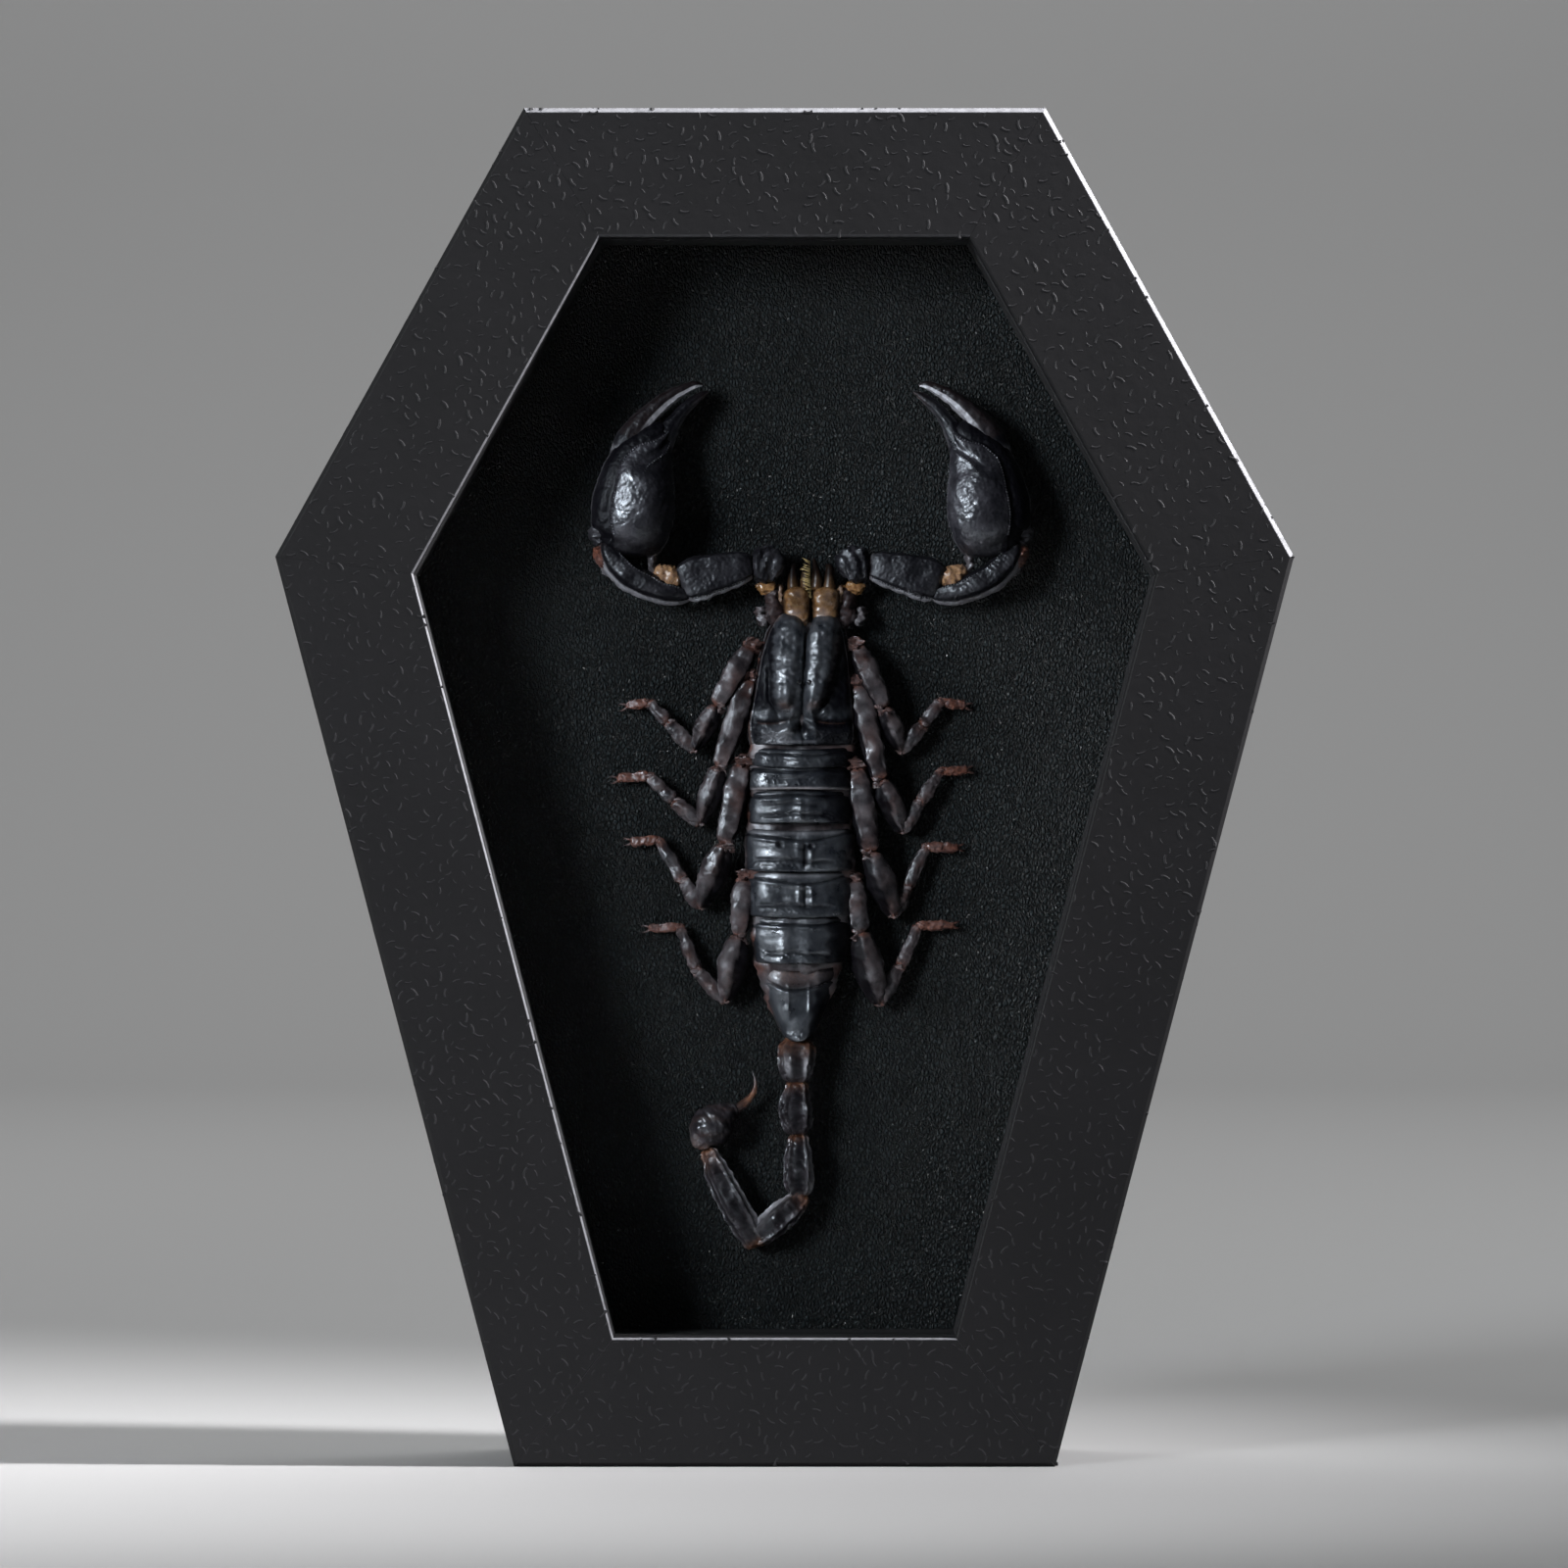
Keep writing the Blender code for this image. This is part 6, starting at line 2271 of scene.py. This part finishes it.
        # Painted highlight along the facet beside the biting edge.
        facet = unit((across - 0.16) * 9.0) * unit((share - 0.30) * 6.0)
        pale = facet * (0.55 + 0.45 * share) * front + 0.16 * hump(across, -0.95, 0.08)
        rim = 0.5 * hump(share, 0.13, 0.03) * front
        return {
            "amber": 0.16 * (share > 0.25) * (1 - facet), "pale": pale + rim,
            "ink": 0.8 * (1 - facet) * (1 - rim),
        }

    def beads(self, palm: SweptShell) -> None:
        """Grows the beaded keels on the palm, the forearm and the upper arm.

        Args:
            palm: the palm's shell, on which two of the keels run.
        """
        tree = bead_tree(CLAW_SHELL)
        lines = []
        for keel in (self.LONG_KEEL, self.SHORT_KEEL):
            share = np.linspace(keel[0][0] + 0.04, keel[0][-1], 70)
            lines.append(palm.surface(share, self.keel_turn(share, keel), self.palm_relief))
        for shell, relief, first, last, count, degrees in (
            (self.arm_shell(), self.arm_relief, 0.10, 0.90, 40, 150.0),
            (self.forearm_shell(), self.forearm_relief, 0.14, 0.9, 40, 54.0),
            (palm, self.palm_relief, 0.12, 0.78, 50, 10.0),
        ):
            lines.append(shell.surface(np.linspace(first, last, count), math.radians(degrees), relief))
        for number, places in enumerate(lines):
            if self.mirror is not None:
                places = places * (-1.0, 1.0, 1.0) + (2 * self.mirror, 0.0, 0.0)
            keel = line_object(f"keel_beads_{number + 1}_{self.hand.value}", places)
            tree.grow(keel, Bead_Radius=self.bead_radius * MM * self.BEAD_SHARES[number], Seed=number)
            present(keel, CLAW_SHELL, self.node)


@dataclass
class TailSegment:
    """A ridged segment of the tail."""

    label: str
    stations: tuple[tuple[float, float, float, float, float], ...]
    # Where round the segment the strip of painted highlight runs, in degrees, and how strong it is.
    highlight_turn: float | None = None
    highlight_share: float = 0.6
    amber_start: float = 0.10
    amber_end: float = 0.04
    facet: float = 0.0
    toothed: bool = False

    KEEL_TURNS = (18.0, 62.0, 118.0, 162.0, 235.0, 305.0)

    def relief(self, share: Array, turn: Array, places: Array) -> Array:
        """The long keels with hollows between them, and teeth on the outer one where it has them."""
        keels = sum(ridge(turn, k, 0.11) for k in self.KEEL_TURNS)
        waist = 0.30 * hump(share, 0.13, 0.06) + 0.22 * hump(share, 0.9, 0.04)
        height = (
            0.30 * keels - 0.16 - waist * 0.6 + 0.08 * ripple(places, 2.0, 21)
            + 0.045 * ripple(places, 0.7, 22)
        )
        if self.toothed:
            teeth = np.maximum(np.sin(share * 56.0), 0.0) ** 2
            height += 0.42 * teeth * ridge(turn, 176.0, 0.16) * (share > 0.25)
        return height

    def tones(self, share: Array, turn: Array) -> Tones:
        """Amber at both ends, a painted highlight in a strip along one edge, pale patches on two facets of
        the first segment, and painted shade in the hollows between the keels.
        """
        amber = 0.9 * np.exp(-((share / self.amber_start) ** 2))
        amber += 0.8 * np.exp(-(((1 - share) / self.amber_end) ** 2))
        keels = sum(ridge(turn, k, 0.05) for k in self.KEEL_TURNS)
        pale = 0.12 * keels * (0.5 + 0.5 * np.sin(share * 23.0 + turn * 3.0))
        # Painted shade in the hollows between the keels.
        ink = 0.75 * ridge(turn, 90.0, 0.22) + 0.6 * ridge(turn, 142.0, 0.18)
        ink *= unit(np.sin(share * math.pi) * 1.6)
        # A painted highlight in a strip along one edge.
        if self.highlight_turn is not None:
            strip = soft_step(np.abs(turn_gap(turn, math.radians(self.highlight_turn))), 0.55, -0.05)
            pale += self.highlight_share * strip * (0.8 + 0.2 * np.sin(share * 17.0))
        if self.facet:
            window = hump(share, 0.6, 0.17)
            pale += self.facet * window * (ridge(turn, 70.0, 0.16) + ridge(turn, 113.0, 0.16))
        pale = unit(pale)
        return {"amber": unit(amber), "pale": pale, "ink": np.clip(ink * (1 - pale) ** 2, 0.0, 0.9)}

    def build(self) -> None:
        """Builds the segment."""
        shell = SweptShell(self.stations, sides=72, rows=80, squareness=3.1)
        dress(f"tail_{self.label}", TAIL_SHELL, "scorpion_tail", [(shell, self.relief, self.tones)])


@dataclass
class Tail:
    """The five tail segments, the bulb and the sting."""

    segments: tuple[TailSegment, ...] = (
        TailSegment(
            "first",
            (
                (2.1, 62.7, 2.9, 2.3, 1.9), (1.9, 61.3, 3.2, 2.85, 2.5), (1.7, 59.4, 3.2, 2.8, 2.6),
                (1.8, 57.3, 3.1, 2.3, 2.3), (1.9, 55.8, 3.0, 1.7, 1.8),
            ),
            amber_start=0.30, facet=0.75,
        ),
        TailSegment(
            "second",
            (
                (1.9, 56.3, 3.0, 1.7, 1.7), (1.8, 54.6, 3.1, 1.95, 2.1), (1.6, 51.8, 3.1, 2.55, 2.4),
                (1.8, 49.6, 3.0, 2.15, 2.2), (2.0, 48.0, 2.9, 1.55, 1.8),
            ),
            amber_start=0.14,
        ),
        TailSegment(
            "third",
            (
                (2.1, 48.5, 2.9, 1.5, 1.5), (2.0, 46.6, 2.9, 1.85, 2.0), (2.0, 43.5, 2.9, 2.2, 2.2),
                (2.1, 40.8, 2.9, 2.15, 2.1), (2.2, 38.9, 2.8, 1.7, 1.7),
            ),
            highlight_turn=150.0, highlight_share=0.3, amber_start=0.10,
        ),
        TailSegment(
            "fourth",
            (
                (3.1, 39.4, 2.7, 1.2, 1.3), (1.9, 38.2, 2.8, 1.75, 1.8), (-0.4, 36.2, 2.8, 2.1, 2.1),
                (-2.9, 33.9, 2.7, 2.0, 2.0), (-4.9, 32.2, 2.6, 1.3, 1.4),
            ),
            highlight_turn=10.0, highlight_share=0.62, amber_start=0.14, amber_end=0.10,
        ),
        TailSegment(
            "fifth",
            (
                (-4.1, 31.4, 2.6, 1.3, 1.4), (-5.2, 33.4, 2.7, 1.95, 1.9), (-7.2, 37.0, 2.8, 2.2, 2.1),
                (-9.2, 40.8, 2.8, 2.05, 2.0), (-10.7, 44.0, 2.7, 1.6, 1.7), (-11.6, 46.2, 2.6, 1.1, 1.3),
            ),
            highlight_turn=12.0, highlight_share=0.66, amber_start=0.06, amber_end=0.12, toothed=True,
        ),
    )

    def build(self) -> None:
        """Builds the segments, the bulb and the sting."""
        for segment in self.segments:
            segment.build()
        self.bulb()
        self.sting()

    def bulb(self) -> None:
        """Builds the bulb behind the sting."""
        stations = (
            (-12.2, 46.0, 2.7, 0.9, 1.0), (-12.3, 47.0, 2.9, 1.7, 1.6), (-11.7, 48.3, 3.1, 2.75, 2.4),
            (-10.7, 49.5, 3.2, 3.1, 2.8), (-9.5, 50.6, 3.1, 2.6, 2.5), (-8.2, 51.5, 3.0, 1.5, 1.7),
            (-7.0, 52.1, 2.8, 0.75, 0.9),
        )
        shapes = [(SweptShell(stations, sides=72, rows=80), self.bulb_relief, self.bulb_tones)]
        dress("sting_bulb", TAIL_SHELL, "scorpion_tail", shapes)

    @staticmethod
    def bulb_relief(share: Array, turn: Array, places: Array) -> Array:
        """The bulb's dents and grit."""
        return 0.09 * ripple(places, 1.6, 23) + 0.06 * np.maximum(ripple(places, 0.7, 24), 0.0)

    @staticmethod
    def bulb_tones(share: Array, turn: Array) -> Tones:
        """The bulb is amber at its root and in flecks, and black on the side away from the light."""
        flecks = np.maximum(np.sin(share * 20.0 + turn * 5.0), 0.0)
        away = unit(0.25 + np.cos(turn) * 0.9)
        return {
            "amber": 0.6 * np.exp(-((share / 0.12) ** 2)) + 0.10 * flecks,
            "pale": 0.16 * hump(share, 0.12, 0.08), "ink": 0.75 * away * unit((share - 0.15) * 5.0),
        }

    def sting(self) -> None:
        """Builds the curved sting, which reddens towards its tip."""
        stations = (
            (-7.9, 51.6, 2.9, 0.8, 0.9), (-6.9, 52.2, 2.8, 0.7, 0.8), (-5.8, 53.0, 2.7, 0.62, 0.66),
            (-4.8, 54.1, 2.6, 0.48, 0.5), (-4.35, 55.3, 2.5, 0.32, 0.34), (-4.45, 56.6, 2.4, 0.18, 0.2),
            (-4.85, 57.7, 2.3, 0.05, 0.06),
        )
        dress(
            "sting", TAIL_SHELL, "scorpion_tail",
            [(SweptShell(stations, sides=24, rows=60), None, self.sting_tones)],
        )

    @staticmethod
    def sting_tones(share: Array, turn: Array) -> Tones:
        """The sting is red in its middle and paler at its tip."""
        red = unit(0.95 * hump(share, 0.5, 0.26))
        return {"amber": red, "pale": 0.25 * hump(share, 0.95, 0.2)}


# The studio


@dataclass
class Lamp:
    """A soft area lamp that points at a spot on the case."""

    name: str
    place: tuple[float, float, float]
    size: tuple[float, float]
    power: float
    colour: tuple[float, float, float] = (1.0, 1.0, 1.0)
    aim: tuple[float, float, float] = (0.0, 0.0, 0.1)
    spread: float = 180.0

    def build(self) -> None:
        """Hangs the lamp."""
        data = bpy.data.lights.new(self.name, "AREA")
        data.shape = "RECTANGLE"
        data.size, data.size_y = self.size
        data.energy = self.power
        data.color = self.colour
        data.spread = math.radians(self.spread)
        lamp = add_object(self.name, data)
        lamp.location = self.place
        lamp.rotation_euler = (Vector(self.aim) - Vector(self.place)).to_track_quat("-Z", "Y").to_euler()


@dataclass
class Studio:
    """The pale sweep, the soft lamps and the camera at the photograph's angle."""

    camera_distance: float = 1.0
    camera_height: float = 0.1005
    camera_x: float = -0.0001
    view_width: float = 0.2307
    sensor: float = 36.0
    sweep_width: float = 3.0
    sweep_depth: float = 1.6
    sweep_front: float = -0.16
    sweep_height: float = 1.6
    sweep_radius: float = 0.35
    world_strength: float = 0.03
    lamps: tuple[Lamp, ...] = (
        Lamp("key softbox", (-0.72, -0.74, 0.38), (0.28, 0.42), 0.46, COOL_LIGHT, (0.0, 0.0, 0.15), 34.0),
        Lamp("side softbox", (-0.90, -0.30, 0.30), (0.30, 0.50), 1.6, COOL_LIGHT),
        Lamp(
            "grazing softbox", (0.30, -0.042, 0.36), (0.02, 0.24), 0.62, (1.0, 0.985, 1.0),
            (-0.02, -0.014, 0.165), 48.0,
        ),
        Lamp("backdrop softbox", (0.0, 0.45, 1.40), (1.4, 0.6), 15.0, (1.0, 1.0, 1.0), (0.0, 1.20, 0.2)),
    )

    def build(self) -> None:
        """Builds the sweep, the lamps, the world and the camera."""
        self.sweep()
        for lamp in self.lamps:
            lamp.build()
        world = bpy.data.worlds.new("studio")
        world.use_nodes = True
        world.node_tree.nodes["Background"].inputs[0].default_value = (0.9, 0.95, 1.0, 1.0)
        world.node_tree.nodes["Background"].inputs[1].default_value = self.world_strength
        bpy.context.scene.world = world
        bpy.context.scene.view_settings.view_transform = "Standard"
        self.camera()

    def sweep(self) -> None:
        """Builds the floor and backdrop as one curved sheet."""
        profile = [(self.sweep_front, 0.0)]
        for step in range(13):
            turn = math.pi / 2 * step / 12
            depth = self.sweep_depth - self.sweep_radius + self.sweep_radius * math.sin(turn)
            profile.append((depth, self.sweep_radius * (1 - math.cos(turn))))
        profile.append((self.sweep_depth, self.sweep_height))
        half = self.sweep_width / 2
        points = [(x, y, z) for y, z in profile for x in (-half, half)]
        faces = [(2 * k, 2 * k + 1, 2 * k + 3, 2 * k + 2) for k in range(len(profile) - 1)]
        mesh = bpy.data.meshes.new("studio_sweep")
        mesh.from_pydata(points, [], faces)
        mesh.materials.append(PaleStudio("studio pale", "").material())
        mesh.shade_smooth()
        floor = add_object("studio_sweep", mesh)

    def camera(self) -> None:
        """Sets the camera level with the middle of the case, square to its front."""
        data = bpy.data.cameras.new("camera")
        data.sensor_width = self.sensor
        data.lens = self.sensor * self.camera_distance / self.view_width
        data.clip_start = 0.01
        camera = add_object("camera", data)
        camera.location = (self.camera_x, FRONT_Y * MM - self.camera_distance, self.camera_height)
        camera.rotation_euler = (math.radians(90.0), 0.0, 0.0)
        bpy.context.scene.camera = camera


def main() -> None:
    """Builds every sub-assembly in order, then the studio."""
    logging.basicConfig(level=logging.INFO, format="%(name)s: %(message)s")
    outline = CaseOutline()
    for part in (
        CoveredRails(outline), Glazing(outline), LeatherGround(outline), CaseBack(outline), Trunk(),
        Mouthparts(), WalkingLegs(), ClawArm(Hand.LEFT), ClawArm(Hand.RIGHT), Tail(),
    ):
        part.build()
    Studio().build()


if __name__ == "__main__":
    main()
